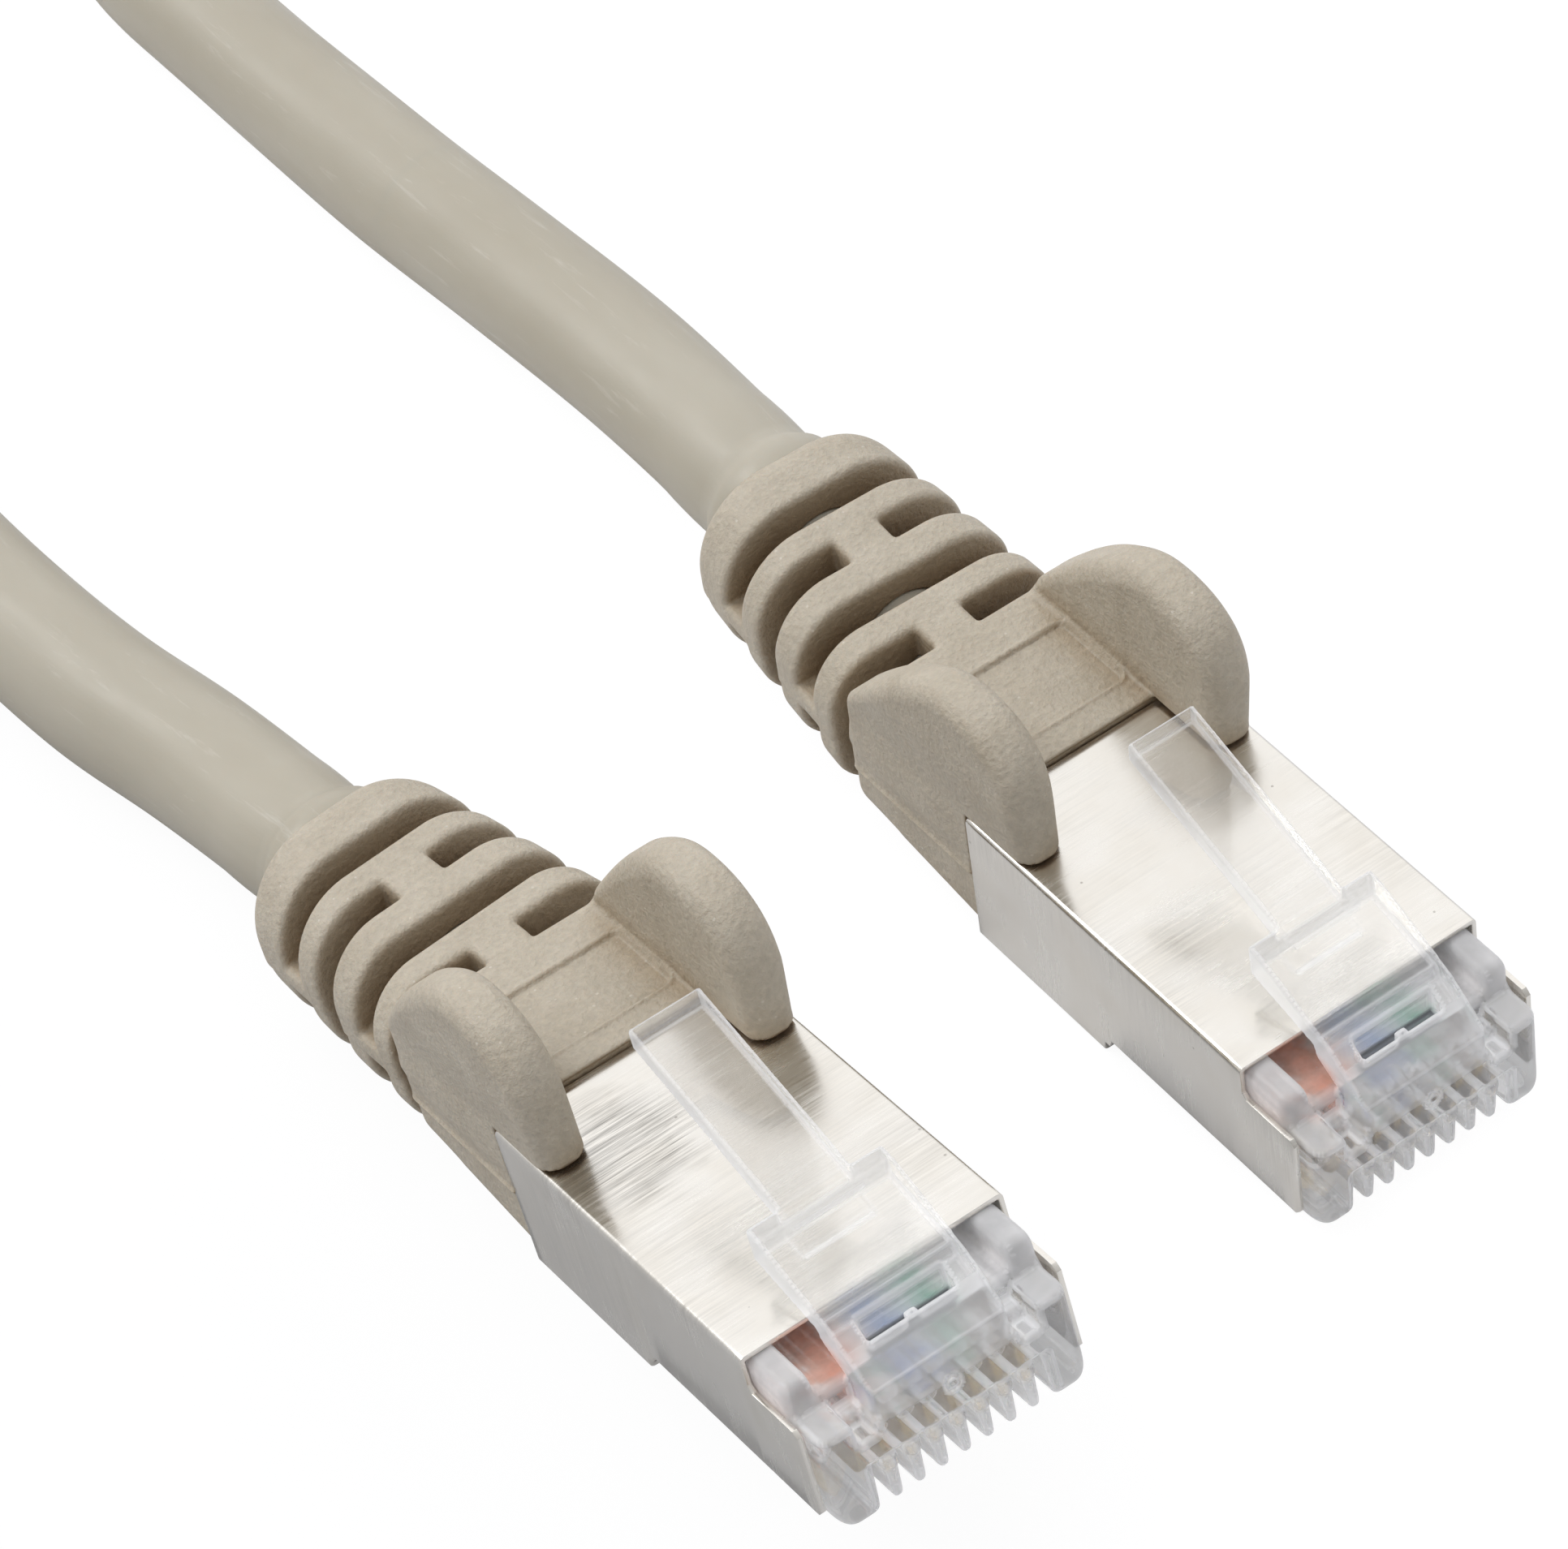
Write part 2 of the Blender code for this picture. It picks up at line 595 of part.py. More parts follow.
def add_tail(side, plug, frame, tail):
    """Strain relief and the jacket in it, swayed about the hinge; returns the jacket's end."""
    bend = frame_empty(f"frame_tail_{side}", at(*BOOT_HINGE) @ rotation(plug["sway"], "Z"), frame)
    place(f"boot_tail_{side}", tail, bend)
    end = (0, TAIL_STUB_END - HINGE_Y, TAIL_RISE + plug["levelling"])
    points = [(0, TAIL_FRONT - HINGE_Y, STUB_START_LIFT), (0, TAIL_END - HINGE_Y, TAIL_RISE), end]
    name = f"jacket_tail_{side}"
    place(name, finish(name, tube(points, CABLE_R, 3), JACKET, smooth=True), bend)
    bpy.context.view_layer.update()
    return (bend.matrix_world @ (Vector(end) * MM) - SHIFT) / MM


def add_plugs():
    """Both plugs, from shared meshes; returns where the jacket of each one ends."""
    fixed_pieces = {
        "plug_housing": housing_mesh(),
        "shield": shield_mesh(),
        "wire_organiser": organiser_mesh(),
        "braid": braid_mesh(),
        "cable_end": cable_end_mesh(),
        "boot_grip": boot_grip_mesh(),
    }
    latch = latch_mesh()
    contact = contact_mesh()
    conductors = [conductor_mesh(i) for i in range(PINS)]
    tail = boot_tail_mesh()
    stub_ends = {}
    for side, plug in PLUGS.items():
        frame = frame_empty(f"frame_plug_{side}", plug_matrix(plug))
        for name, mesh in fixed_pieces.items():
            place(f"{name}_{side}", mesh, frame)
        place(f"latch_{side}", latch, frame, LATCH_HINGE)
        for i in range(PINS):
            place(f"contact_{side}_{i + 1}", contact, frame, (pin_x(i), 0, 0))
            place(f"conductor_{side}_{i + 1}_{WIRE_COLOURS[i][0]}", conductors[i], frame)
        stub_ends[side] = add_tail(side, plug, frame, tail)
    return stub_ends


# ---- cable legs and loop -------------------------------------------------------------------
def add_rod(name, start, end, start_trim, end_trim):
    """A jacket length between two points, its ends cut back and square; origin at its start."""
    direction = (end - start).normalized()
    first = start + direction * start_trim
    last = end - direction * end_trim
    mesh = cylinder_y(CABLE_R, (0, (last - first).length), segments=20)
    obj = new_object(name, finish(name, mesh, JACKET, smooth=True))
    turn = Vector((0, 1, 0)).rotation_difference(direction).to_matrix().to_4x4()
    obj.matrix_world = Matrix.Translation(SHIFT) @ at(*first) @ turn


def loop_hinges(tangent):
    """Hinges from leg b round to leg a: the loop flares out at the first and the last."""
    hinges = [Vector((LEG_X_B, LOOP_START_Y + tangent, LYING_Z))]
    heading = math.pi / 2 - TURN
    for _ in range(BENDS):
        direction = Vector((math.cos(heading), math.sin(heading), 0))
        hinges.append(hinges[-1] + direction * 2 * tangent)
        heading += TURN
    return hinges


def add_leg_a(start, end, end_trim):
    """Eases from the tail's outward heading to run parallel to leg b."""
    knots = [start, *[Vector((x, y, LYING_Z)) for x, y in LEG_A_KNOTS], end]
    knots[0] = start + (knots[1] - start).normalized() * LEG_GAP
    knots[-1] = end - (end - knots[-2]).normalized() * end_trim
    mesh = tube([tuple(knot) for knot in knots], CABLE_R, 3)
    leg = new_object("jacket_leg_a", finish("jacket_leg_a", mesh, JACKET, smooth=True))
    leg.location = SHIFT


def add_cable(stub_ends):
    # This radius brings the last hinge onto leg a
    loop_radius = (LEG_X_B - LEG_X_A) / 2 / (2 * math.cos(TURN) - 1)
    hinges = loop_hinges(loop_radius * math.tan(TURN / 2))
    joint_trim = CABLE_R * math.tan(TURN / 2) + JOINT_CLEARANCE
    for k in range(BENDS):
        add_rod(f"jacket_bend_{k + 1}", hinges[k], hinges[k + 1], joint_trim, joint_trim)
    gap = Vector((0, LEG_GAP, 0))
    # Leg b is straight, from the boot's height to the table
    add_rod("jacket_leg_b", stub_ends["b"] + gap, hinges[0], LEG_GAP, joint_trim)
    add_leg_a(stub_ends["a"] + gap, hinges[-1], joint_trim)


add_cable(add_plugs())
bpy.context.view_layer.update()
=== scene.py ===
"""Shielded ethernet patch cable: two plugs, a and b, joined by one looped sheath.

The cable lies on a table just below z = 0, in metres, +Z up. Shapes are designed in mm. A plug's
own frame has +X across, +Y from the nose to the cable and +Z to the latch; y = 0, z = 0 is the
front foot of the nose.
"""
import json
import math
from contextlib import contextmanager
from functools import reduce

import bmesh
import bpy
import numpy as np
from mathutils import Matrix, Vector


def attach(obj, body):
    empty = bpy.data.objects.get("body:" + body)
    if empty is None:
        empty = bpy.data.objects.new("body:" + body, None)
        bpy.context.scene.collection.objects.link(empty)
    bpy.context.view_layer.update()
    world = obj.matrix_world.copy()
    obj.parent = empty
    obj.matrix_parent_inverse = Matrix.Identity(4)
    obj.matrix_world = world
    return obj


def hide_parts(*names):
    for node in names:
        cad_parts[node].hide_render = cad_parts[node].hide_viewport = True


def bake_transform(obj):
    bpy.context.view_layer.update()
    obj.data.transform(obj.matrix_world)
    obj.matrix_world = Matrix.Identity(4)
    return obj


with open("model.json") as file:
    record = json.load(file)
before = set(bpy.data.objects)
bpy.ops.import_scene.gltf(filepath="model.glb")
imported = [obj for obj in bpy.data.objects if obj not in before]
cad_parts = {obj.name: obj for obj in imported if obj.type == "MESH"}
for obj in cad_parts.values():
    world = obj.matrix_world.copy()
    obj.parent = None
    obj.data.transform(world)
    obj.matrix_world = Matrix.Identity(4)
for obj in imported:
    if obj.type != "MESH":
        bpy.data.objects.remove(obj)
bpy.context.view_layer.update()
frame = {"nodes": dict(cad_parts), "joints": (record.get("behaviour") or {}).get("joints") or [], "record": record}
MM = 0.001
joints = {j["name"]: j for j in frame["joints"]}
mounts = {m["name"]: m for m in frame["record"]["mounts"]}
scene = bpy.context.scene


# ---- plug frames ---------------------------------------------------------------------------
NOSE_MOUNT_Z = 3.7            # the nose mount above the plug's origin
AXIS_Z = 3.35                 # cable axis in the plug
BEND_Y = 30.4                 # the strain relief turns sideways about this place
SWAY = {"a": 5.0, "b": -1.6}  # degrees


def axes_matrix(x_axis, y_axis, z_axis, origin):
    matrix = Matrix((x_axis, y_axis, z_axis)).transposed().to_4x4()
    matrix.translation = origin
    return matrix


def plug_frame(side):
    nose = mounts[f"plug_{side}_nose"]
    y_axis = -Vector(nose["axis"]).normalized()
    x_axis = -Vector(mounts[f"plug_{side}_shield_left"]["axis"]).normalized()
    z_axis = x_axis.cross(y_axis).normalized()
    origin = Vector(nose["pos_m"]) - z_axis * NOSE_MOUNT_Z * MM
    return axes_matrix(x_axis, y_axis, z_axis, origin)


PLUG = {side: plug_frame(side) for side in "ab"}


def in_world(side, x, y, z):
    """World place, in metres, of a point given in mm in a plug's frame."""
    return PLUG[side] @ (Vector((x, y, z)) * MM)


# ---- signed distances: negative inside, mm ---------------------------------------------------
def smax(a, b, blend):
    """Common part of two shapes, the edge rounded over the blend width."""
    h = np.maximum(blend - np.abs(a - b), 0.0) / blend
    return np.maximum(a, b) + h * h * blend * 0.25


def smin(a, b, blend):
    """Two shapes joined, with a fillet."""
    return -smax(-a, -b, blend)


def cut(shape, tool, blend):
    return smax(shape, -tool, blend)


def rise(value, start, width):
    """0 up to start, climbing to 1 over width."""
    return np.clip((value - start) / width, 0, 1)


def fall(value, end, width):
    """1 until width before end, dropping to 0 at end."""
    return np.clip((end - value) / width, 0, 1)


def round_edge(a, b, radius):
    """Common part of two distances already grown by radius."""
    return np.hypot(np.maximum(a, 0), np.maximum(b, 0)) + np.minimum(np.maximum(a, b), 0) - radius


def rounded_rect(u, v, half_u, half_v, radius):
    return round_edge(np.abs(u) - (half_u - radius), np.abs(v) - (half_v - radius), radius)


def extruded(flat, depth, half, radius):
    """2D distance given a thickness of 2 * half, edges rounded."""
    return round_edge(flat + radius, np.abs(depth) - half + radius, radius)


def box(x, y, z, spans, radius):
    """Rounded box; spans are its (low, high) along each axis."""
    q = [np.abs(c - (low + high) / 2) - ((high - low) / 2 - radius)
         for c, (low, high) in zip((x, y, z), spans)]
    outside = np.sqrt(sum(np.maximum(c, 0) ** 2 for c in q))
    return outside + np.minimum(np.maximum(np.maximum(q[0], q[1]), q[2]), 0) - radius


def polygon(u, v, points):
    """Exact signed distance to a closed polygon."""
    points = np.asarray(points, float)
    squared = np.full(u.shape, 1e9)
    sign = np.ones(u.shape)
    for i in range(len(points)):
        here, before = points[i], points[i - 1]
        edge_u, edge_v = before - here
        from_u, from_v = u - here[0], v - here[1]
        t = (from_u * edge_u + from_v * edge_v) / (edge_u * edge_u + edge_v * edge_v)
        t = np.clip(t, 0, 1)
        squared = np.minimum(squared, (from_u - edge_u * t) ** 2 + (from_v - edge_v * t) ** 2)
        above, below, left = v >= here[1], v < before[1], edge_u * from_v > edge_v * from_u
        flip = (above & below & left) | (~above & ~below & ~left)
        sign = np.where(flip, -sign, sign)
    return sign * np.sqrt(squared)


def gradient(distance, points, reach=0.012):
    slope = np.empty_like(points)
    for i in range(3):
        ahead, behind = points.copy(), points.copy()
        ahead[:, i] += reach
        behind[:, i] -= reach
        slope[:, i] = (distance(*ahead.T) - distance(*behind.T)) / (2 * reach)
    return slope


def skin_normals(distance, points, reach=0.012):
    slope = gradient(distance, points, reach)
    return slope / np.maximum(np.linalg.norm(slope, axis=1), 1e-6)[:, None]


CORNERS = np.array([(i, j, k) for i in (0, 1) for j in (0, 1) for k in (0, 1)])
CELL_EDGES = [(a, b) for a in range(8) for b in range(a + 1, 8)
              if np.abs(CORNERS[a] - CORNERS[b]).sum() == 1]
LAYERS = 12     # grid layers sampled at once, to spare memory


def sample_grid(distance, low, count, step):
    ticks = [low[i] + step * np.arange(count[i]) for i in range(3)]
    values = np.empty(count, np.float32)
    for i in range(0, count[0], LAYERS):
        grid = np.meshgrid(ticks[0][i:i + LAYERS], ticks[1], ticks[2], indexing="ij")
        values[i:i + LAYERS] = distance(*grid)
    return values


def surface(distance, low, high, step):
    """Surface nets over a grid, with the points then pulled onto the zero surface."""
    count = [int(math.ceil((high[i] - low[i]) / step)) + 1 for i in range(3)]
    values = sample_grid(distance, low, count, step)
    solid = values < 0
    filled = np.zeros([m - 1 for m in count], np.int8)
    for i, j, k in CORNERS:
        filled += solid[i:count[0] - 1 + i, j:count[1] - 1 + j, k:count[2] - 1 + k]
    cells = np.argwhere((filled > 0) & (filled < 8))
    ids = np.full(filled.shape, -1, np.int64)
    ids[tuple(cells.T)] = np.arange(len(cells))

    # each cell's point is the mean of the crossings on its edges
    at_corner = np.stack([values[tuple((cells + c).T)] for c in CORNERS], 1).astype(float)
    place, hits = np.zeros((len(cells), 3)), np.zeros(len(cells))
    for a, b in CELL_EDGES:
        start, end = at_corner[:, a], at_corner[:, b]
        cross = (start < 0) != (end < 0)
        t = np.where(cross, start / np.where(cross, start - end, 1), 0)
        on_edge = CORNERS[a] + t[:, None] * (CORNERS[b] - CORNERS[a])
        place += np.where(cross[:, None], on_edge, 0)
        hits += cross
    points = np.array(low) + (cells + place / hits[:, None]) * step

    for _ in range(4):
        gap, slope = distance(*points.T), gradient(distance, points)
        move = -(gap / np.maximum((slope ** 2).sum(1), 0.2))[:, None] * slope
        size = np.linalg.norm(move, axis=1)
        points += move * np.minimum(1, 0.4 * step / np.maximum(size, 1e-9))[:, None]

    # one quad round every grid edge that passes through the surface
    quads = []
    for axis in range(3):
        u, v = (axis + 1) % 3, (axis + 2) % 3
        first, second = [slice(None)] * 3, [slice(None)] * 3
        first[axis], second[axis] = slice(0, -1), slice(1, None)
        a, b = solid[tuple(first)], solid[tuple(second)]
        at = np.argwhere(a != b)
        at = at[(at[:, u] > 0) & (at[:, v] > 0)
                & (at[:, u] < count[u] - 1) & (at[:, v] < count[v] - 1)]
        outward = a[tuple(at.T)]
        loop = []
        for back_u, back_v in ((1, 1), (0, 1), (0, 0), (1, 0)):
            cell = at.copy()
            cell[:, u] -= back_u
            cell[:, v] -= back_v
            loop.append(ids[tuple(cell.T)])
        quad = np.stack(loop, 1)
        quad[~outward] = quad[~outward][:, ::-1]
        quads.append(quad)
    return points, np.concatenate(quads)


# ---- meshes and objects ------------------------------------------------------------------------
@contextmanager
def editing(mesh):
    """A bmesh of the mesh, written back afterwards."""
    edit = bmesh.new()
    edit.from_mesh(mesh)
    yield edit
    edit.to_mesh(mesh)
    edit.free()


def set_coords(mesh, points):
    mesh.vertices.foreach_set("co", (points * MM).astype(np.float32).ravel())


def coords(mesh):
    """Vertex places in mm."""
    flat = np.empty(len(mesh.vertices) * 3, np.float32)
    mesh.vertices.foreach_get("co", flat)
    return flat.reshape(-1, 3).astype(float) / MM


def put_loc(mesh, loc):
    """Store where each point sits in the piece's own design, in mm; the textures follow it."""
    attribute = mesh.attributes.new("loc", "FLOAT_VECTOR", "POINT")
    attribute.data.foreach_set("vector", np.asarray(loc, np.float32).ravel())


def quad_mesh(name, points, quads):
    mesh = bpy.data.meshes.new(name)
    mesh.vertices.add(len(points))
    set_coords(mesh, points)
    mesh.loops.add(quads.size)
    mesh.loops.foreach_set("vertex_index", quads.astype(np.int32).ravel())
    mesh.polygons.add(len(quads))
    mesh.polygons.foreach_set("loop_start", np.arange(0, quads.size, 4, dtype=np.int32))
    mesh.update(calc_edges=True)
    mesh.validate()
    return mesh


def smooth_skin(mesh, normals, loc):
    mesh.shade_smooth()
    mesh.normals_split_custom_set_from_vertices(normals.tolist())
    put_loc(mesh, loc)


def new_object(name, mesh, material=None, matrix=None):
    obj = bpy.data.objects.new(name, mesh)
    scene.collection.objects.link(obj)
    if matrix is not None:
        obj.matrix_world = matrix
    if material is not None:
        mesh.materials.clear()
        mesh.materials.append(material)
    return obj


def evaluated_mesh(obj):
    bpy.context.view_layer.update()
    depsgraph = bpy.context.evaluated_depsgraph_get()
    return bpy.data.meshes.new_from_object(obj.evaluated_get(depsgraph), depsgraph=depsgraph)


def bind(piece, replaced):
    """Bake a piece's transform into its mesh and hide the frame's nodes that it stands for."""
    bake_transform(piece)
    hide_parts(*replaced)


# ---- node helpers ------------------------------------------------------------------------------
WHITE = (1.0, 1.0, 1.0)


class Nodes:
    """Short helper for building a node tree."""

    def __init__(self, owner):
        owner.use_nodes = True
        self.tree = owner.node_tree

    def add(self, kind):
        return self.tree.nodes.new("ShaderNode" + kind)

    def link(self, output, socket):
        self.tree.links.new(output, socket)

    def feed(self, socket, value):
        """Give a socket a number, a colour or another node's output."""
        if isinstance(value, (int, float)):
            socket.default_value = value
        elif isinstance(value, tuple):
            socket.default_value = (*value, 1.0)
        else:
            self.link(value, socket)

    def ramp(self, value, stops):
        """Colour ramp; stops are (position, grey level or colour)."""
        node = self.add("ValToRGB")
        elements = node.color_ramp.elements
        while len(elements) < len(stops):
            elements.new(0.5)
        for element, (position, colour) in zip(elements, stops):
            element.position = position
            element.color = (*(colour if isinstance(colour, tuple) else (colour,) * 3), 1.0)
        self.link(value, node.inputs["Fac"])
        return node.outputs["Color"]

    def remap(self, value, span, to=(0.0, 1.0)):
        node = self.add("MapRange")
        for key, number in zip(("From Min", "From Max", "To Min", "To Max"), (*span, *to)):
            node.inputs[key].default_value = number
        self.link(value, node.inputs["Value"])
        return node.outputs["Result"]

    def window(self, value, opens, closes):
        """1 between the two spans, fading across each."""
        return self.times(self.remap(value, opens), self.remap(value, closes, to=(1.0, 0.0)))

    def math(self, operation, a, b):
        node = self.add("Math")
        node.operation = operation
        self.feed(node.inputs[0], a)
        self.feed(node.inputs[1], b)
        return node.outputs[0]

    def times(self, *values):
        return reduce(lambda a, b: self.math("MULTIPLY", a, b), values)

    def plus(self, a, b):
        return self.math("ADD", a, b)

    def vector_math(self, operation, vector, key, value):
        node = self.add("VectorMath")
        node.operation = operation
        node.inputs[key].default_value = value
        self.link(vector, node.inputs[0])
        return node

    def mix(self, a, b, share, kind="MIX"):
        node = self.add("Mix")
        node.data_type = "RGBA"
        node.blend_type = kind
        for index, value in ((6, a), (7, b), (0, share)):
            self.feed(node.inputs[index], value)
        return node.outputs[2]

    def multiply(self, a, b):
        return self.mix(a, b, share=1.0, kind="MULTIPLY")

    def ray(self, kind):
        return self.add("LightPath").outputs[kind]


class Material(Nodes):
    """A material textured by the loc attribute, or by object coordinates, both in mm."""

    def __init__(self, name, from_loc=True):
        self.material = bpy.data.materials.new(name)
        super().__init__(self.material)
        self.bsdf = self.tree.nodes["Principled BSDF"]
        if from_loc:
            self.at = self.attribute("loc", "Vector")
        else:
            metres = self.add("TexCoord").outputs["Object"]
            self.at = self.vector_math("SCALE", metres, key="Scale", value=1000.0).outputs[0]

    def attribute(self, name, output):
        node = self.add("Attribute")
        node.attribute_name = name
        return node.outputs[output]

    def xyz(self):
        node = self.add("SeparateXYZ")
        self.link(self.at, node.inputs[0])
        return node.outputs

    def mapped(self, key, value):
        node = self.add("Mapping")
        node.inputs[key].default_value = value
        self.link(self.at, node.inputs["Vector"])
        return node.outputs[0]

    def texture(self, kind, vector=None, **inputs):
        node = self.add("Tex" + kind)
        for key, value in inputs.items():
            node.inputs[key].default_value = value
        self.link(self.at if vector is None else vector, node.inputs["Vector"])
        return node

    def noise(self, scale, detail=3.0, rough=0.5, stretch=None, distortion=0.0):
        """stretch scales each axis: a small factor draws the grain out along it."""
        vector = None if stretch is None else self.mapped("Scale", stretch)
        return self.texture("Noise", vector, Scale=scale, Detail=detail, Roughness=rough,
                            Distortion=distortion).outputs["Fac"]

    def specks(self, scale, core, edge):
        """Mask of scattered round specks, full up to core and gone at edge."""
        distance = self.texture("Voronoi", Scale=scale).outputs["Distance"]
        return self.ramp(distance, [(0.0, 1.0), (core, 1.0), (edge, 0.0)])

    def shade(self, base, tone, share):
        """Multiply base by tone, by the given share of its effect."""
        return self.multiply(base, self.mix(WHITE, tone, share))

    def bump(self, height, depth_mm, strength, after=None):
        node = self.add("Bump")
        node.inputs["Distance"].default_value = depth_mm * MM
        node.inputs["Strength"].default_value = strength
        self.link(height, node.inputs["Height"])
        if after is not None:
            self.link(after, node.inputs["Normal"])
        return node.outputs["Normal"]

    def set(self, key, value):
        self.feed(self.bsdf.inputs[key], value)

    def subsurface(self, weight, scale, radius):
        self.set("Subsurface Weight", weight)
        self.set("Subsurface Scale", scale)
        self.bsdf.inputs["Subsurface Radius"].default_value = radius

    def coloured(self, kind, colour):
        node = self.add(kind)
        self.feed(node.inputs["Color"], colour)
        return node

    def mix_shader(self, first, second, share):
        node = self.add("MixShader")
        self.feed(node.inputs[0], share)
        self.link(first, node.inputs[1])
        self.link(second, node.inputs[2])
        return node.outputs[0]

    def finish(self, shader):
        self.link(shader, self.tree.nodes["Material Output"].inputs["Surface"])


# ---- materials ---------------------------------------------------------------------------------
def boot_material():
    """Grained beige plastic, with painted shade that darkens it to brown in its hollows."""
    n = Material("boot_pvc")
    fine = n.noise(scale=3.6, rough=0.62)
    mottle = n.noise(scale=0.40, detail=4.0, rough=0.6)
    base = n.ramp(mottle, [(0.25, (0.450, 0.396, 0.312)), (0.5, (0.492, 0.438, 0.352)),
                           (0.78, (0.540, 0.487, 0.400))])
    base = n.multiply(base, n.remap(fine, span=(0.32, 0.72), to=(0.90, 1.08)))
    specks = n.specks(scale=1.15, core=0.060, edge=0.085)
    base = n.mix(base, (0.68, 0.64, 0.57), share=n.times(specks, 0.5))
    # painted shade: ambient occlusion darkens the colour to warm brown in the grooves and hollows, where shade
    # falls
    ao_crevice_shade = n.add("AmbientOcclusion")
    ao_crevice_shade.samples = 6
    ao_crevice_shade.inputs["Distance"].default_value = 0.0022
    depth = n.ramp(ao_crevice_shade.outputs["AO"], [(0.12, (0.40, 0.30, 0.21)), (0.55, (0.82, 0.73, 0.62)),
                                          (0.88, WHITE)])
    n.set("Base Color", n.multiply(base, depth))
    n.set("Roughness", n.remap(fine, span=(0.3, 0.7), to=(0.46, 0.64)))
    n.set("Specular IOR Level", 0.42)
    n.subsurface(weight=0.12, scale=0.0007, radius=(1.0, 0.55, 0.32))
    grain = n.bump(fine, depth_mm=0.12, strength=0.85)
    broad = n.noise(scale=0.9, detail=2.0)
    n.set("Normal", n.bump(broad, depth_mm=0.05, strength=0.5, after=grain))
    return n.material


def jacket_material():
    """Smooth sheath plastic with scuffs and drawing lines along the cable."""
    n = Material("jacket_pvc")
    mottle = n.noise(scale=0.22, detail=4.0, rough=0.55, stretch=(1.0, 0.35, 1.0))
    base = n.ramp(mottle, [(0.2, (0.408, 0.371, 0.295)), (0.5, (0.442, 0.407, 0.331)),
                           (0.8, (0.482, 0.449, 0.374))])
    scuffs = n.noise(scale=1.6, detail=5.0, rough=0.7, stretch=(1.0, 0.10, 1.0), distortion=0.4)
    scuffs = n.ramp(scuffs, [(0.60, 0.0), (0.72, 1.0)])
    n.set("Base Color", n.mix(base, (0.62, 0.60, 0.54), share=n.times(scuffs, 0.42)))
    gloss = n.noise(scale=1.1, stretch=(1.0, 0.25, 1.0))
    n.set("Roughness", n.remap(gloss, span=(0.3, 0.7), to=(0.34, 0.50)))
    n.set("Specular IOR Level", 0.45)
    n.subsurface(weight=0.15, scale=0.0009, radius=(1.0, 0.6, 0.4))
    lines = n.noise(scale=2.4, detail=2.0, stretch=(1.0, 0.06, 1.0))
    drawn = n.bump(lines, depth_mm=0.02, strength=0.5)
    pores = n.noise(scale=9.0, detail=2.0)
    n.set("Normal", n.bump(pores, depth_mm=0.004, strength=0.6, after=drawn))
    return n.material


def shield_material():
    """Nickel sheet brushed across the plug, with a darker hatched patch near one side of its top."""
    n = Material("nickel_shield")
    lines = n.noise(scale=1.0, detail=4.0, rough=0.65, stretch=(0.28, 7.5, 0.28))
    fine = n.noise(scale=1.0, detail=2.0, rough=0.6, stretch=(0.8, 28.0, 0.8))
    cloud = n.noise(scale=0.42)
    base = n.ramp(cloud, [(0.3, (0.80, 0.765, 0.700)), (0.7, (0.86, 0.835, 0.785))])
    patch = n.remap(n.noise(scale=0.16, detail=2.0), span=(0.42, 0.62), to=(0.22, 1.0))
    base = n.shade(base, n.remap(lines, span=(0.3, 0.7), to=(0.84, 1.05)), share=patch)
    spots = n.specks(scale=0.62, core=0.030, edge=0.045)
    base = n.mix(base, (0.30, 0.28, 0.25), share=n.times(spots, 0.55))
    # a ragged patch near one side of the top, darkened by hatched streaks
    patch_centre = n.vector_math("DISTANCE", n.at, key=1, value=(-2.7, 17.0, 6.6))
    ragged = n.plus(patch_centre.outputs["Value"], n.times(cloud, 3.0))
    hatched_patch = n.remap(ragged, span=(3.2, 5.2), to=(1.0, 0.0))
    hatch = n.noise(scale=1.0, detail=4.0, rough=0.7, stretch=(0.22, 9.0, 0.22))
    hatch = n.remap(hatch, span=(0.35, 0.62), to=(0.40, 1.06))
    n.set("Base Color", n.shade(base, hatch, share=hatched_patch))
    n.set("Metallic", 1.0)
    worn = n.plus(n.times(lines, 0.5), n.times(cloud, 0.5))
    n.set("Roughness", n.remap(worn, span=(0.35, 0.65), to=(0.12, 0.32)))
    coarse = n.bump(n.times(lines, patch), depth_mm=0.006, strength=0.6)
    n.set("Normal", n.bump(fine, depth_mm=0.0016, strength=0.5, after=coarse))
    return n.material


# the conductors' colours across the plug, from -X: (position, colour)
INKED = [
    (0.02, (0.97, 0.90, 0.88)), (0.09, (0.92, 0.60, 0.50)), (0.20, (0.89, 0.42, 0.31)),
    (0.32, (0.90, 0.84, 0.80)), (0.43, (0.18, 0.34, 0.70)), (0.54, (0.84, 0.89, 0.95)),
    (0.66, (0.14, 0.56, 0.36)), (0.77, (0.90, 0.89, 0.88)), (0.98, (0.86, 0.84, 0.85))]


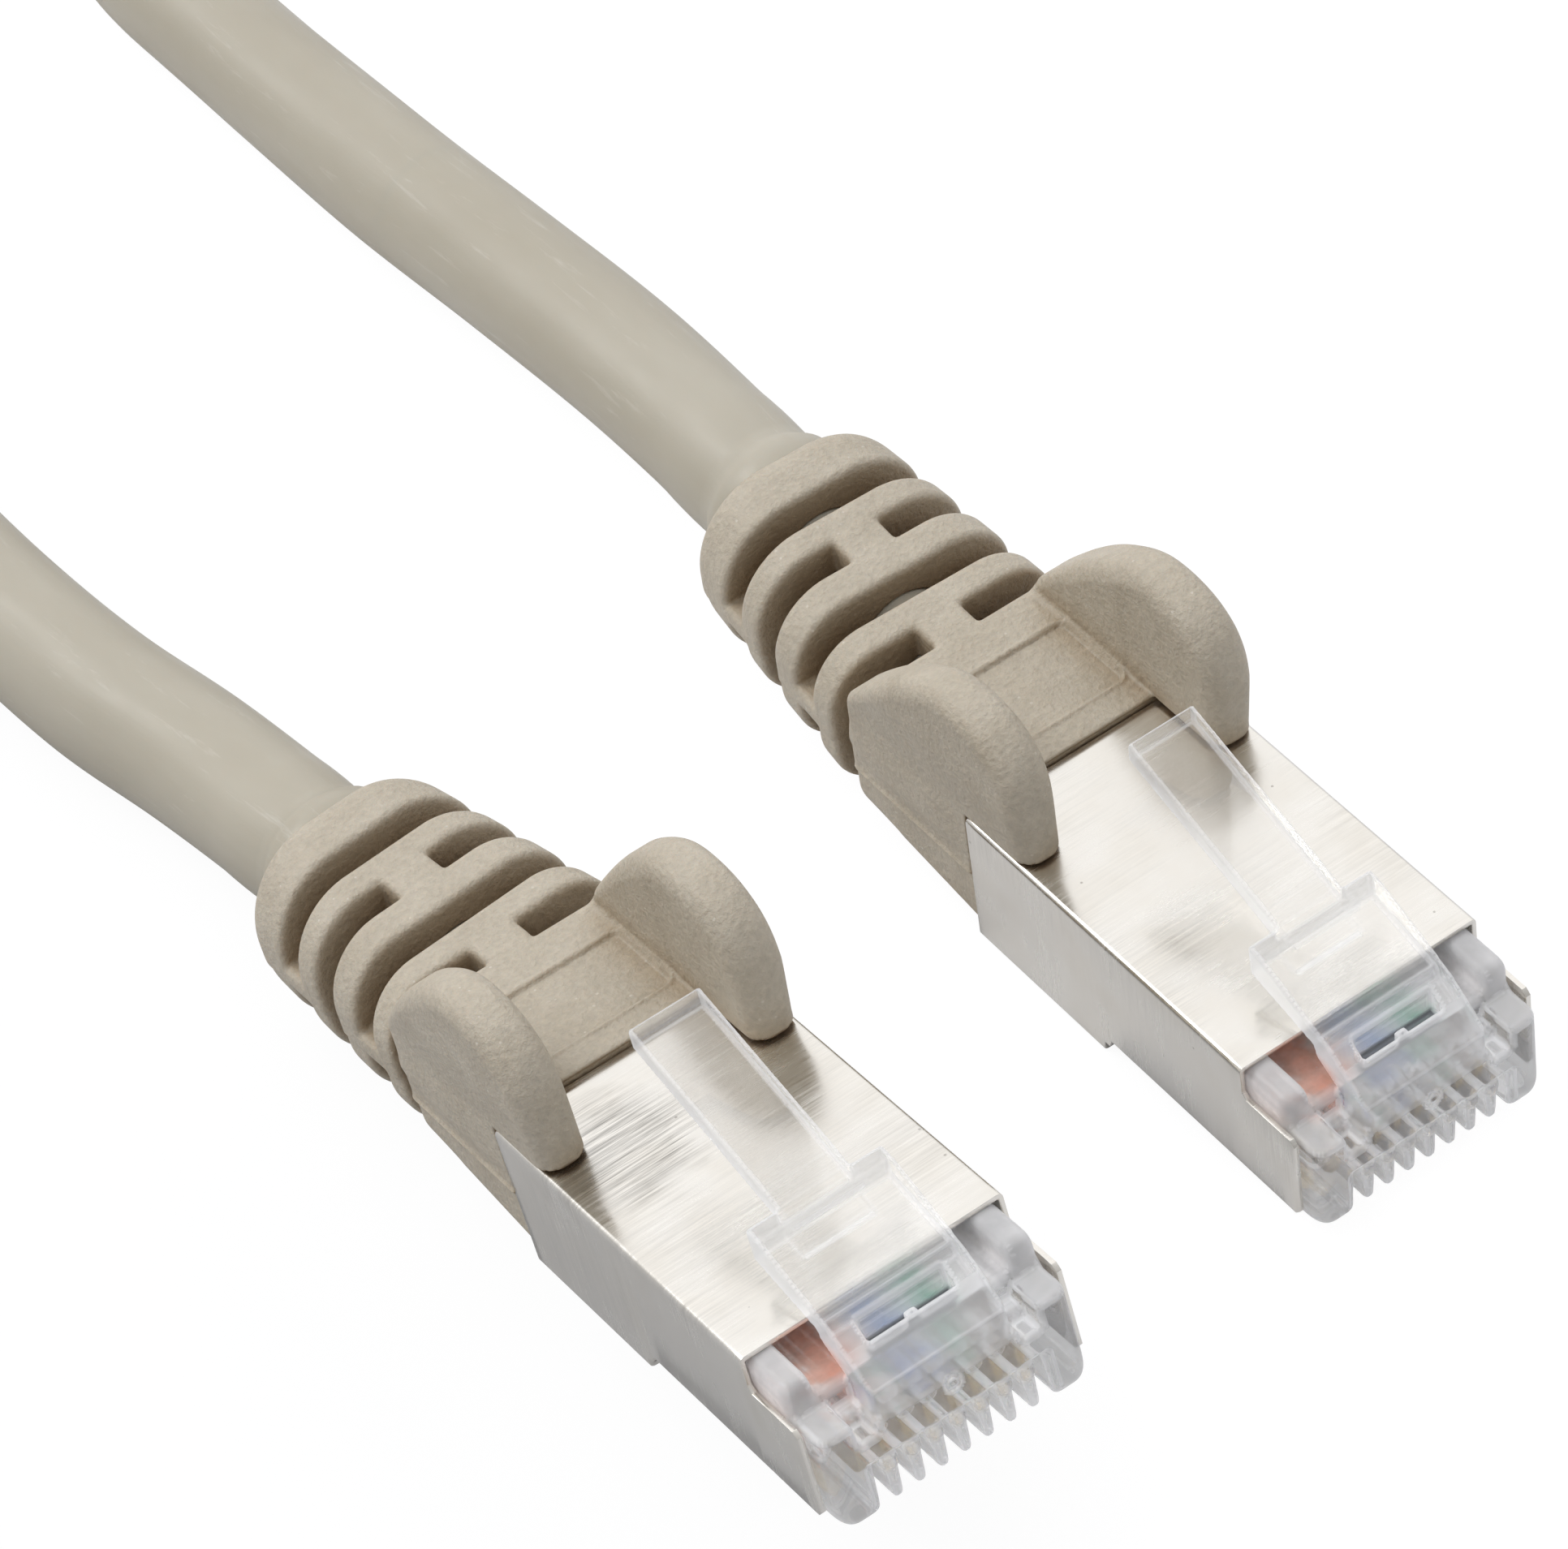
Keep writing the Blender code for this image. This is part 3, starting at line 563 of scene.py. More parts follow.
def clear_material():
    """Clear moulded plastic: refracting, partly straight-through, with a faint milky scatter."""
    tint, haze_tint = (0.985, 0.99, 0.998), (0.98, 0.985, 1.0)
    rough, wave_mm, milk = 0.015, 0.008, 0.16
    n = Material("clear_housing")
    swirl = n.noise(scale=0.55, detail=2.0, rough=0.45, distortion=0.6)
    n.set("Base Color", n.ramp(swirl, [(0.3, tuple(c * 0.985 for c in tint)), (0.7, tint)]))
    smear = n.noise(scale=1.8, rough=0.6)
    n.set("Roughness", n.remap(smear, span=(0.35, 0.7), to=(rough * 0.4, rough * 1.8)))
    n.set("IOR", 1.50)
    n.set("Transmission Weight", 1.0)
    n.set("Specular IOR Level", 0.6)
    soft = n.bump(swirl, depth_mm=wave_mm, strength=0.6)
    ripple = n.noise(scale=2.6, rough=0.55)
    n.set("Normal", n.bump(ripple, depth_mm=wave_mm * 0.18, strength=0.6, after=soft))
    through = n.add("BsdfTransparent").outputs[0]
    haze = n.coloured("BsdfTranslucent", haze_tint)
    front = n.coloured("BsdfDiffuse", haze_tint)

    # the latch above the housing is clearer and less milky
    x, y, z = n.xyz()
    low = n.remap(z, span=(6.4, 8.0), to=(1.0, 0.10))
    straight = n.remap(z, span=(6.4, 8.0), to=(0.50, 0.74))
    clear = n.mix_shader(n.bsdf.outputs[0], through, share=straight)
    milky = n.mix_shader(haze.outputs[0], front.outputs[0], share=0.80)

    # under the latch the haze picks up the conductors' colours, blurred as through thick plastic
    wander = n.remap(n.noise(scale=1.3, detail=2.0), span=(0.3, 0.7), to=(-0.35, 0.35))
    inked = n.ramp(n.remap(n.plus(x, wander), span=(-4.6, 4.6)), INKED)
    reach = n.window(y, opens=(1.7, 2.4), closes=(6.5, 7.5))
    band = n.window(z, opens=(3.4, 3.8), closes=(5.5, 6.5))
    inked_at = n.times(reach, band)
    haze_colour = n.mix(haze_tint, inked, share=inked_at)

    # painted shade: the haze turns near black where the pocket behind the latch root opens into the unlit inside
    across = n.remap(n.math("ABSOLUTE", x, 0.0), span=(1.85, 2.0), to=(1.0, 0.0))
    along = n.window(y, opens=(1.42, 1.54), closes=(2.18, 2.30))
    pocket = n.times(across, along, n.remap(z, span=(5.95, 6.15), to=(1.0, 0.0)),
                     n.remap(z, span=(4.9, 5.1)))
    haze_colour = n.mix(haze_colour, (0.16, 0.17, 0.18), share=pocket)
    n.link(haze_colour, haze.inputs["Color"])
    n.link(haze_colour, front.inputs["Color"])

    # how much haze: the milk, the painted highlights on the rims, the conductors' colours and the pocket's painted
    # shade
    painted_highlight = n.attribute("painted_highlight", "Fac")
    cloudy = n.times(n.remap(swirl, span=(0.3, 0.7), to=(milk * 0.7, milk * 1.3)),
                     n.times(low, n.remap(z, span=(1.8, 4.0), to=(0.45, 1.0))))
    share = n.plus(cloudy, n.times(painted_highlight, 0.44))
    uneven = n.remap(n.noise(scale=0.9, rough=0.6), span=(0.35, 0.65), to=(0.22, 0.46))
    share = n.plus(share, n.plus(n.times(inked_at, uneven), n.times(pocket, 0.45)))
    hazed = n.mix_shader(clear, milky, share=share)
    in_shadow = n.times(n.ray("Is Shadow Ray"), 0.94)
    n.finish(n.mix_shader(hazed, through, share=in_shadow))
    return n.material


def gold_material():
    n = Material("gold_contact", from_loc=False)
    cloud = n.noise(scale=2.0, rough=0.6)
    n.set("Base Color", n.ramp(cloud, [(0.3, (0.84, 0.60, 0.24)), (0.7, (0.92, 0.72, 0.36))]))
    n.set("Metallic", 1.0)
    n.set("Roughness", n.remap(cloud, span=(0.3, 0.7), to=(0.128, 0.208)))
    grain = n.noise(scale=12.0, detail=2.0, rough=0.6)
    n.set("Normal", n.bump(grain, depth_mm=0.004, strength=0.5))
    return n.material


def braid_material():
    """Tinned braid: two crossing sets of waves."""
    n = Material("tinned_braid", from_loc=False)
    strands = [n.texture("Wave", n.mapped("Rotation", (0.0, 0.0, turn)), Scale=1.6).outputs["Fac"]
               for turn in (0.8, -0.8)]
    weave = n.math("MAXIMUM", *strands)
    n.set("Base Color", n.ramp(weave, [(0.2, (0.30, 0.29, 0.27)), (0.8, (0.72, 0.71, 0.68))]))
    n.set("Metallic", 1.0)
    n.set("Roughness", 0.32)
    n.set("Normal", n.bump(weave, depth_mm=0.08, strength=0.9))
    return n.material


def plastic_material(name, colour, tracer=None):
    """Moulded or extruded plastic; tracer is the colour of diagonal stripes."""
    n = Material(name, from_loc=False)
    cloud = n.noise(scale=1.4)
    base = n.ramp(cloud, [(0.3, tuple(c * 0.9 for c in colour)), (0.7, colour)])
    if tracer is not None:
        bands = n.texture("Wave", Scale=0.42)
        bands.bands_direction = "DIAGONAL"
        stripe = n.ramp(bands.outputs["Fac"], [(0.60, 0.0), (0.68, 1.0)])
        base = n.mix(base, tracer, share=stripe)
    n.set("Base Color", base)
    n.set("Roughness", n.remap(cloud, span=(0.3, 0.7), to=(0.28, 0.42)))
    grain = n.noise(scale=6.0, detail=2.0)
    n.set("Normal", n.bump(grain, depth_mm=0.006, strength=0.5))
    return n.material


# conductor insulation: (colour, tracer)
WIRE = {
    "white_orange": ((0.86, 0.80, 0.74), (0.85, 0.26, 0.06)), "orange": ((0.88, 0.25, 0.05), None),
    "white_green": ((0.84, 0.86, 0.82), (0.04, 0.42, 0.20)), "blue": ((0.04, 0.16, 0.60), None),
    "white_blue": ((0.84, 0.86, 0.90), (0.05, 0.18, 0.60)), "green": ((0.02, 0.38, 0.17), None),
    "white_brown": ((0.84, 0.80, 0.76), (0.28, 0.13, 0.06)), "brown": ((0.22, 0.10, 0.05), None),
}
BOOT_PVC, JACKET_PVC, NICKEL = boot_material(), jacket_material(), shield_material()
CLEAR = clear_material()
# materials of the frame's own nodes, by the start of their names
INSIDE = {
    "contact_": gold_material(),
    "braid_": braid_material(),
    "wire_organiser_": plastic_material("organiser_plastic", (0.80, 0.80, 0.78)),
    "cable_end_": plastic_material("cable_end_pvc", (0.50, 0.47, 0.40)),
}
INSULATION = {key: plastic_material("wire_" + key, *colours) for key, colours in WIRE.items()}


def inside_material(name):
    if name.startswith("conductor_"):
        return INSULATION[name.split("_", 3)[3]]
    return next((mat for start, mat in INSIDE.items() if name.startswith(start)), None)


def dress_inside():
    for name, node in frame["nodes"].items():
        material = inside_material(name)
        if material is None:
            continue
        if not node.material_slots:
            node.data.materials.append(material)
        for slot in node.material_slots:
            slot.material = material


# ---- clear moulding: housing and latch are one piece -------------------------------------------
PITCH = 1.02                             # contact slots
LAST_SLOT = 3.5 * PITCH                  # middle of the outermost of eight slots
NOSE_HALF, NOSE_TOP = 5.5, 4.3           # half width, height
EDGE_FROM, EDGE_LIFT = 3.95, 0.5         # the nose stands higher outside this half width
UPPER_HALF, UPPER_TOP = 5.58, 6.3        # taller part behind the nose
UPPER_FRONT, UPPER_FOOT = 1.8, 2.5
DECK_HALF, DECK_Z, DECK_END = 4.35, 5.2, 6.3
LATCH_HALF, LATCH_TAIL_HALF = 3.05, 1.625
LATCH_TAIL_FROM, LATCH_WIDE_END = 6.0, 7.0
POCKET_HALF, POCKET_Y, POCKET_HALF_Y, POCKET_FLOOR = 1.95, 1.86, 0.36, 5.85
SLOT_TOP, SLOT_END = 2.62, 5.9
SLOT_HALF, MOUTH_EXTRA = 0.19, 0.165
TOOTH_Y, TOOTH_Z, TOOTH_RADIUS = 0.32, 2.22, 0.37
BORE_Z, BORE_RADIUS, BORE_Y = 3.1, 0.46, (2.2, 8.2)
CAVITY = ((-4.75, 4.75), (7.8, 23.0), (0.8, 5.6))
MOULDING_END = 21.4
# latch with its root, outline seen from the side: (y, z)
LATCH_SIDE = [
    (0.0, 2.72), (0.0, 4.95), (0.22, 5.5), (0.9, 6.14), (2.2, 7.14), (6.2, 9.0), (7.0, 9.2),
    (7.7, 9.57), (15.9, 12.45), (15.9, 11.53), (7.9, 8.72), (7.0, 8.36), (7.0, 7.72),
    (3.25, 6.72), (3.05, 6.1), (1.9, 5.3), (1.9, 2.72)]


def housing(x, y, z):
    side = np.abs(x)
    body = smax(-y, -z, 1.1)
    body = smax(body, side - NOSE_HALF, 0.75)
    body = smax(body, z - (NOSE_TOP + EDGE_LIFT * rise(side, EDGE_FROM, 0.15)), 0.25)
    upper = smax(smax(UPPER_FRONT - y, z - UPPER_TOP, 0.5), side - UPPER_HALF, 0.62)
    upper = smax(upper, UPPER_FOOT - z, 0.2)
    deck = smax(smax(side - DECK_HALF, DECK_Z - z, 0.35), y - DECK_END, 0.5)
    upper = cut(upper, deck, 0.35)
    # recessed middle of the nose, between the two side walls
    middle = smax(smax(side - 4.08, smin(y - 0.16, z - 0.26, 0.3), 0.25), z - 2.66, 0.2)
    body = cut(body, middle, 0.15)
    body = smin(body, upper, 0.25)
    # step beside the latch root
    step = smax(smax(np.abs(side - 3.62) - 0.42, 3.75 - z, 0.25), y - 1.15, 0.25)
    return cut(body, step, 0.3)


def latch_shape(x, y, z):
    side = np.abs(x)
    outline = polygon(y, z, LATCH_SIDE)
    wide = np.where(y > LATCH_TAIL_FROM, smax(outline, y - LATCH_WIDE_END, 0.12), outline)
    latch = extruded(wide, x, LATCH_HALF, 0.13)
    # rounded vertical corners of the root
    root = rounded_rect(x, y - 5.0, LATCH_HALF, 5.0, 0.62)
    latch = np.where(y < 3.0, smax(latch, root, 0.1), latch)
    tail = extruded(np.maximum(outline, LATCH_TAIL_FROM - y), x, LATCH_TAIL_HALF, 0.11)
    latch = smin(latch, tail, 0.10)
    # pocket behind the root, with a narrow key left standing in it
    pocket = smax(side - POCKET_HALF, np.abs(y - POCKET_Y) - POCKET_HALF_Y, 0.12)
    pocket = smax(pocket, POCKET_FLOOR - z, 0.12)
    key = smax(smax(side - 0.26, y - 1.80, 0.08), z - 6.55, 0.1)
    return cut(latch, np.maximum(pocket, -key), 0.12)


def moulding_shape(x, y, z):
    shape = smin(housing(x, y, z), latch_shape(x, y, z), 0.16)
    # contact slots: open at the front and below, wider at the mouth
    slot_x = np.clip((np.round(x / PITCH - 0.5) + 0.5) * PITCH, -LAST_SLOT, LAST_SLOT)
    half = SLOT_HALF + MOUTH_EXTRA * np.clip((2.55 - z) / 2.5, 0, 1.05)
    slot = smax(smax(np.abs(x - slot_x) - half, z - SLOT_TOP, 0.1), y - SLOT_END, 0.1)
    shape = cut(shape, slot, 0.14)
    # teeth between the slots end in small round heads under the latch root
    tooth_x = np.clip(np.round(x / PITCH), -3, 3) * PITCH
    head = np.sqrt((x - tooth_x) ** 2 + (y - TOOTH_Y) ** 2 + ((z - TOOTH_Z) * 0.8) ** 2)
    shape = smin(shape, head - TOOTH_RADIUS, 0.14)
    # moulding gate mark: a shallow ring on the root's front
    gate = np.abs(np.hypot(x - 0.1, z - 3.95) - 0.30) - 0.07
    shape = np.where(y < 0.4, cut(shape, np.maximum(gate, y - 0.06), 0.06), shape)
    bore = np.hypot(x - slot_x, z - BORE_Z) - BORE_RADIUS
    bore = np.maximum(np.maximum(bore, BORE_Y[0] - y), y - BORE_Y[1])
    shape = cut(shape, bore, 0.05)
    shape = cut(shape, box(x, y, z, CAVITY, 0.3), 0.12)
    return np.maximum(shape, y - MOULDING_END)


def thin_hidden(mesh):
    """Fewer faces where the shield covers the housing."""
    with editing(mesh) as edit:
        hidden = [v for v in edit.verts if v.co.y > 8.6 * MM and v.co.z < 6.5 * MM]
        inside = set(hidden)
        edges = [e for e in edit.edges if e.verts[0] in inside and e.verts[1] in inside]
        bmesh.ops.dissolve_limit(edit, angle_limit=math.radians(2.0), verts=hidden, edges=edges)


def put_painted_highlight(mesh, points, normals):
    """White haze painted on as highlights along rounded edges and the latch's cut flanks and back, and as painted
    brightness on the shoulders and the root's front.
    """
    pairs = np.empty(len(mesh.edges) * 2, np.int32)
    mesh.edges.foreach_get("vertices", pairs)
    first, second = pairs.reshape(-1, 2).T
    turn = np.linalg.norm(normals[first] - normals[second], axis=1)
    apart = np.linalg.norm(points[first] - points[second], axis=1)
    turn = np.where(apart < 0.35, turn, 0)
    bend = np.zeros(len(points))
    np.maximum.at(bend, first, turn)
    np.maximum.at(bend, second, turn)
    x, y, z = points.T
    side = np.abs(x)
    flank = rise(np.abs(normals[:, 0]), 0.75, 0.2) * rise(z, 5.0, 1.2) * (x < 0)
    latch_back = rise(normals[:, 1], 0.75, 0.2) * (z > 6.9) * (y < 7.3)
    shoulder = (side > 4.25) & (z > 4.5) & (z < 6.5) & (y < 6.0)
    root = (side < 3.3) & (z > 4.2) & (z < 7.0) & (y < 1.5)
    # painted highlight: mask for the whiter haze on bends, flanks, latch back, shoulders and root
    painted_highlight = np.maximum(rise(bend, 0.10, 0.35), flank)
    for weight, place in ((0.75, latch_back), (0.60, shoulder), (0.52, root)):
        painted_highlight = np.maximum(painted_highlight, weight * place)
    attribute = mesh.attributes.new("painted_highlight", "FLOAT", "POINT")
    attribute.data.foreach_set("value", painted_highlight.astype(np.float32))


def build_mouldings():
    step = 0.10
    points, quads = surface(moulding_shape, (-5.75, -0.3, -0.25), (5.75, 21.6, 12.75), step)
    mesh = quad_mesh("moulding", points, quads)
    thin_hidden(mesh)
    points = coords(mesh)
    normals = skin_normals(moulding_shape, points)
    smooth_skin(mesh, normals, points)
    put_painted_highlight(mesh, points, normals)
    for side in "ab":
        piece = new_object(f"clear_moulding_{side}", mesh.copy(), CLEAR, PLUG[side])
        bind(piece,
             (f"plug_housing_{side}", f"latch_{side}"))


# ---- boot: grip, two ears over the latch, ribbed strain relief ---------------------------------
# cross sections: y, half width, half height, centre z, corner radius
BOOT_STATIONS = np.array([
    (21.5, 5.80, 3.60, 3.30, 0.90),
    (27.0, 5.80, 3.60, 3.30, 1.55),
    (29.9, 5.80, 3.60, 3.30, 2.35),
    (31.0, 5.74, 3.60, 3.32, 2.55),
    (37.0, 5.36, 3.84, 3.50, 3.10),
    (42.3, 4.98, 4.12, 3.75, 3.85),
    (43.6, 4.80, 4.02, 3.80, 3.95)])
GRIP_FRONT, BOOT_END = 21.74, 42.95
PARTING_Z = 3.2               # ridge line round the grip
# grooves: y from, y to, where they cut
GROOVES = [(29.95, 31.25, "sides"), (32.78, 34.12, "top"),
           (35.88, 37.18, "sides"), (38.66, 39.98, "top")]
EAR_X, EAR_HALF = 4.81, 1.03  # middle of an ear from the plug's middle, half its thickness
# ear outline seen from the side, before softening: (y, z)
EAR_CORNERS = [
    (17.60, 3.6), (17.60, 5.4), (17.60, 7.5), (17.60, 9.7), (17.78, 10.9), (18.35, 11.95),
    (19.4, 12.75), (20.6, 13.12), (21.9, 13.2), (23.0, 13.02), (24.2, 12.45), (25.6, 11.5),
    (27.0, 10.25), (28.3, 8.95), (29.3, 7.9), (29.9, 7.2), (29.95, 6.6), (29.9, 3.6)]
# the strain relief grips the sheath, which is squeezed inside it: y, bore radius
BOOT_BORE = ((24.5, 27.0, 40.8, 42.3), (3.02, 2.15, 2.15, 3.20))
STRAP_SLOT = ((-2.5, 2.5), (20.5, 24.2), (-1.0, 1.6))


def softened(points, rounds=2):
    """Corner cutting: every bend of the outline becomes a curve."""
    for _ in range(rounds):
        here = np.asarray(points, float)
        after = np.roll(here, -1, axis=0)
        pair = [0.75 * here + 0.25 * after, 0.25 * here + 0.75 * after]
        points = np.stack(pair, 1).reshape(-1, 2)
    return points


EAR = softened(EAR_CORNERS)


def cable_z(y):
    return AXIS_Z + 0.75 * (y - BEND_Y) / 14.4


def boot_body(x, y, z):
    """Grip and strain relief, with the grooves."""
    side = np.abs(x)
    half_x, half_z, middle, radius = (
        np.interp(y, BOOT_STATIONS[:, 0], column) for column in BOOT_STATIONS.T[1:])
    # the lower half of the grip is rounder, most of all towards the cable
    low = fall(z, middle, 2.0) * np.clip((30.5 - y) / 3, 0, 1)
    radius = radius + low * np.interp(y, [22, 30], [0.1, 0.5])
    section = rounded_rect(x, z - middle, half_x, half_z, radius)
    inset = fall(z, PARTING_Z, 0.10) * 0.08
    ridge = 0.13 * np.exp(-((z - PARTING_Z) / 0.12) ** 2) * fall(y, 29.9, 0.4)
    section = section + inset - ridge * (side > 3)
    body = smax(section, GRIP_FRONT - y, 0.12)
    body = smax(body, y - BOOT_END, 1.5)
    for start, end, kind in GROOVES:
        stop = 1.12 - side if kind == "sides" else 0.62 - np.abs(z - AXIS_Z)
        groove = smax(np.abs(y - (start + end) / 2) - (end - start) / 2, stop, 0.22)
        body = cut(body, groove, 0.38)
    return body


def boot_shape(x, y, z):
    body = boot_body(x, y, z)
    flare = 0.25 * rise(z, 7.0, 2.5)
    ears = extruded(polygon(y, z, EAR), np.abs(x) - EAR_X - flare / 2, EAR_HALF + flare / 2,
                    np.interp(y, [24.5, 29.5], [0.90, 0.50]))
    # the fillet is tight at the grip's front, where the ears stand straight, and widens behind
    body = smin(body, np.minimum(ears, 3.0), 0.12 + 0.25 * rise(y, 22.3, 1.5))
    # nothing hangs over the shield below the ears
    body = cut(body, np.maximum(z - 6.73, y - GRIP_FRONT), 0.08)
    # sunken panel on top of the grip, with a faint raised border
    panel = rounded_rect(x, y - 25.4, 3.5, 2.1, 0.35)
    sunk = 0.13 * np.clip(0.5 - panel / 0.12, 0, 1)
    border = 0.07 * np.exp(-((panel - 0.16) / 0.11) ** 2)
    body = body + (sunk - border) * (z > 5.5)
    bore = np.hypot(x, z - cable_z(y)) - np.interp(y, *BOOT_BORE) - 0.05
    body = cut(body, bore, 0.08)
    return cut(body, box(x, y, z, STRAP_SLOT, 0.1), 0.1)


def turned(x, y, angle):
    return x * np.cos(angle) - y * np.sin(angle), x * np.sin(angle) + y * np.cos(angle)


def swayed(points, side, start=29.7, end=32.3):
    """Points bent sideways about the boot's first groove, and the angle each has turned."""
    t = np.clip((points[:, 1] - start) / (end - start), 0, 1)
    angle = math.radians(SWAY[side]) * t * t * (3 - 2 * t)
    x, y = turned(points[:, 0], points[:, 1] - BEND_Y, angle)
    return np.stack([x, BEND_Y + y, points[:, 2]], 1), angle


def build_boots():
    step = 0.135
    points, quads = surface(boot_shape, (-6.35, 17.3, -0.75), (6.35, 45.35, 13.6), step)
    normals = skin_normals(boot_shape, points, reach=0.02)
    texture_shift = {"a": 0, "b": 40}
    for side in "ab":
        bent, angle = swayed(points, side)
        bent_normals = np.stack([*turned(normals[:, 0], normals[:, 1], angle), normals[:, 2]], 1)
        mesh = quad_mesh(f"boot_{side}", bent, quads)
        smooth_skin(mesh, bent_normals, points + texture_shift[side])
        boot = new_object(f"boot_{side}", mesh, BOOT_PVC, PLUG[side])
        bind(boot,
             (f"boot_grip_{side}", f"boot_tail_{side}"))


# ---- shield: folded nickel sheet ---------------------------------------------------------------
SHEET = 0.22
SHIELD_HALF, SHIELD_FOOT, SHIELD_TOP = 5.87, -0.40, 6.57
SHIELD_FRONT, SHIELD_BACK = 1.03, 21.66
COLLAR_RADIUS, COLLAR_BORE, COLLAR_Y = 2.95, 2.75, (23.4, 27.8)
# what the sheet covers, seen from the side: (y, z)
SHIELD_SIDE = [
    (SHIELD_BACK, -0.6), (SHIELD_BACK, 7.0), (4.2, 7.0), (4.2, 5.25), (3.95, 5.0), (1.28, 5.0),
    (SHIELD_FRONT, 4.75), (SHIELD_FRONT, 0.95), (1.28, 0.68), (12.9, 0.66), (13.02, 0.25),
    (13.35, 0.25), (13.5, -0.6)]
# strap under the collar, turned up at its end: (y, z)
STRAP_SIDE = [(21.0, -0.37), (23.85, -0.37), (23.85, 0.75), (23.6, 0.75), (23.6, -0.21),
              (21.0, -0.21)]


def prism(outline, span, along):
    """Closed outline given depth: (y, z) points along x, or (x, z) points along y."""
    count = len(outline)
    points = [(w, u, v) if along == "x" else (u, w, v) for w in span for u, v in outline]
    faces = [tuple(range(count)), tuple(range(2 * count - 1, count - 1, -1))]
    for i in range(count):
        j = (i + 1) % count
        faces.append((j, i, count + i, count + j))
    mesh = bpy.data.meshes.new("prism")
    mesh.from_pydata([tuple(c * MM for c in point) for point in points], [], faces)
    with editing(mesh) as edit:
        bmesh.ops.recalc_face_normals(edit, faces=edit.faces)
        if edit.calc_volume(signed=True) < 0:
            bmesh.ops.reverse_faces(edit, faces=edit.faces)
    return mesh


def round_section(half, foot, top, radius, segments=6):
    outline = []
    for centre_x, centre_z, start in (
            (half - radius, top - radius, 0), (-half + radius, top - radius, 90),
            (-half + radius, foot + radius, 180), (half - radius, foot + radius, 270)):
        for i in range(segments + 1):
            angle = math.radians(start + 90 * i / segments)
            outline.append((centre_x + radius * math.cos(angle),
                            centre_z + radius * math.sin(angle)))
    return outline


def cable_ring(radius, segments=48):
    """Circle round the cable axis."""
    angles = [2 * math.pi * i / segments for i in range(segments)]
    return [(radius * math.cos(a), AXIS_Z + radius * math.sin(a)) for a in angles]


def carve(base, steps):
    """Boolean steps, (operation, tool mesh), applied to a base mesh."""
    blank = new_object("blank", base)
    tools = []
    for i, (operation, tool_mesh) in enumerate(steps):
        tool = new_object(f"tool_{i}", tool_mesh)
        tools.append(tool)
        modifier = blank.modifiers.new(f"step_{i}", "BOOLEAN")
        modifier.operation, modifier.solver, modifier.object = operation, "EXACT", tool
    mesh = evaluated_mesh(blank)
    for obj in [blank] + tools:
        bpy.data.objects.remove(obj, do_unlink=True)
    with editing(mesh) as edit:
        bmesh.ops.remove_doubles(edit, verts=edit.verts, dist=0.000002)
        bmesh.ops.dissolve_limit(edit, angle_limit=math.radians(0.3), verts=edit.verts,
                                 edges=edit.edges)
    return mesh


def shield_blank():
    outer = prism(round_section(SHIELD_HALF, SHIELD_FOOT, SHIELD_TOP, 0.26),
                  (SHIELD_FRONT, SHIELD_BACK), along="y")
    covered = prism(SHIELD_SIDE, (-6.5, 6.5), along="x")
    inner = prism(round_section(SHIELD_HALF - SHEET, SHIELD_FOOT + SHEET, SHIELD_TOP - SHEET,
                                0.08), (-1, 23), along="y")
    strap = prism(STRAP_SIDE, (-2.2, 2.2), along="x")
    collar = prism(cable_ring(COLLAR_RADIUS), COLLAR_Y, along="y")
    collar_bore = prism(cable_ring(COLLAR_BORE), (COLLAR_Y[0] - 1, COLLAR_Y[1] + 1), along="y")
    return carve(outer, [("INTERSECT", covered), ("DIFFERENCE", inner), ("UNION", strap),
                         ("UNION", collar), ("DIFFERENCE", collar_bore)])


def cut_into_cells(mesh):
    """Cut the long flat plates every mm, so that the sheet can carry a wave."""
    with editing(mesh) as edit:
        for direction, cuts in ((Vector((0, 1, 0)), range(1, 22)),
                                (Vector((1, 0, 0)), range(-5, 6))):
            for i in cuts:
                bmesh.ops.bisect_plane(edit, geom=edit.verts[:] + edit.edges[:] + edit.faces[:],
                                       dist=1e-7, plane_co=direction * (i * MM),
                                       plane_no=direction)


def handling_wave(points, phase):
    """Points with the top of the sheet slightly waved."""
    x, y, z = points.T
    inside = np.clip((5.2 - np.abs(x)) / 1.5, 0, 1) * np.clip((y - 5.0) / 2, 0, 1)
    wave = 0.012 * np.sin(y * 0.45 + phase) * np.cos(x * 0.38 + phase) * inside
    moved = points.copy()
    moved[:, 2] += np.where(z > 6.2, wave, 0)
    return moved


def build_shields():
    blank = shield_blank()
    # each side's phase of the wave, and shift of the texture
    for side, phase, texture_shift in (("a", 0.0, 0), ("b", 1.7, 60)):
        shield = new_object(f"shield_sheet_{side}", blank.copy(), NICKEL, PLUG[side])
        bevel = shield.modifiers.new("edge", "BEVEL")
        bevel.width, bevel.segments = 0.05 * MM, 2
        bevel.limit_method, bevel.angle_limit = "ANGLE", math.radians(40)
        mesh = evaluated_mesh(shield)
        shield.modifiers.clear()
        cut_into_cells(mesh)
        flat = coords(mesh)
        set_coords(mesh, handling_wave(flat, phase))
        mesh.shade_smooth()
        mesh.set_sharp_from_angle(angle=math.radians(28))
        put_loc(mesh, flat + texture_shift)
        mesh.materials.clear()
        mesh.materials.append(NICKEL)
        shield.data = mesh
        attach(shield, f"plug_{side}")
        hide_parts(f"shield_{side}")


# ---- jacket: one extruded sheath, cut only where the frame's bodies meet -----------------------
JACKET_RADIUS = 3.04
JACKET_SEGMENTS = 56
CABLE_STEP = 0.6              # between rings
TAIL_Y = (30.1, 33.0, 37.0, 41.0, 44.6)     # stations along the plug inside the strain relief
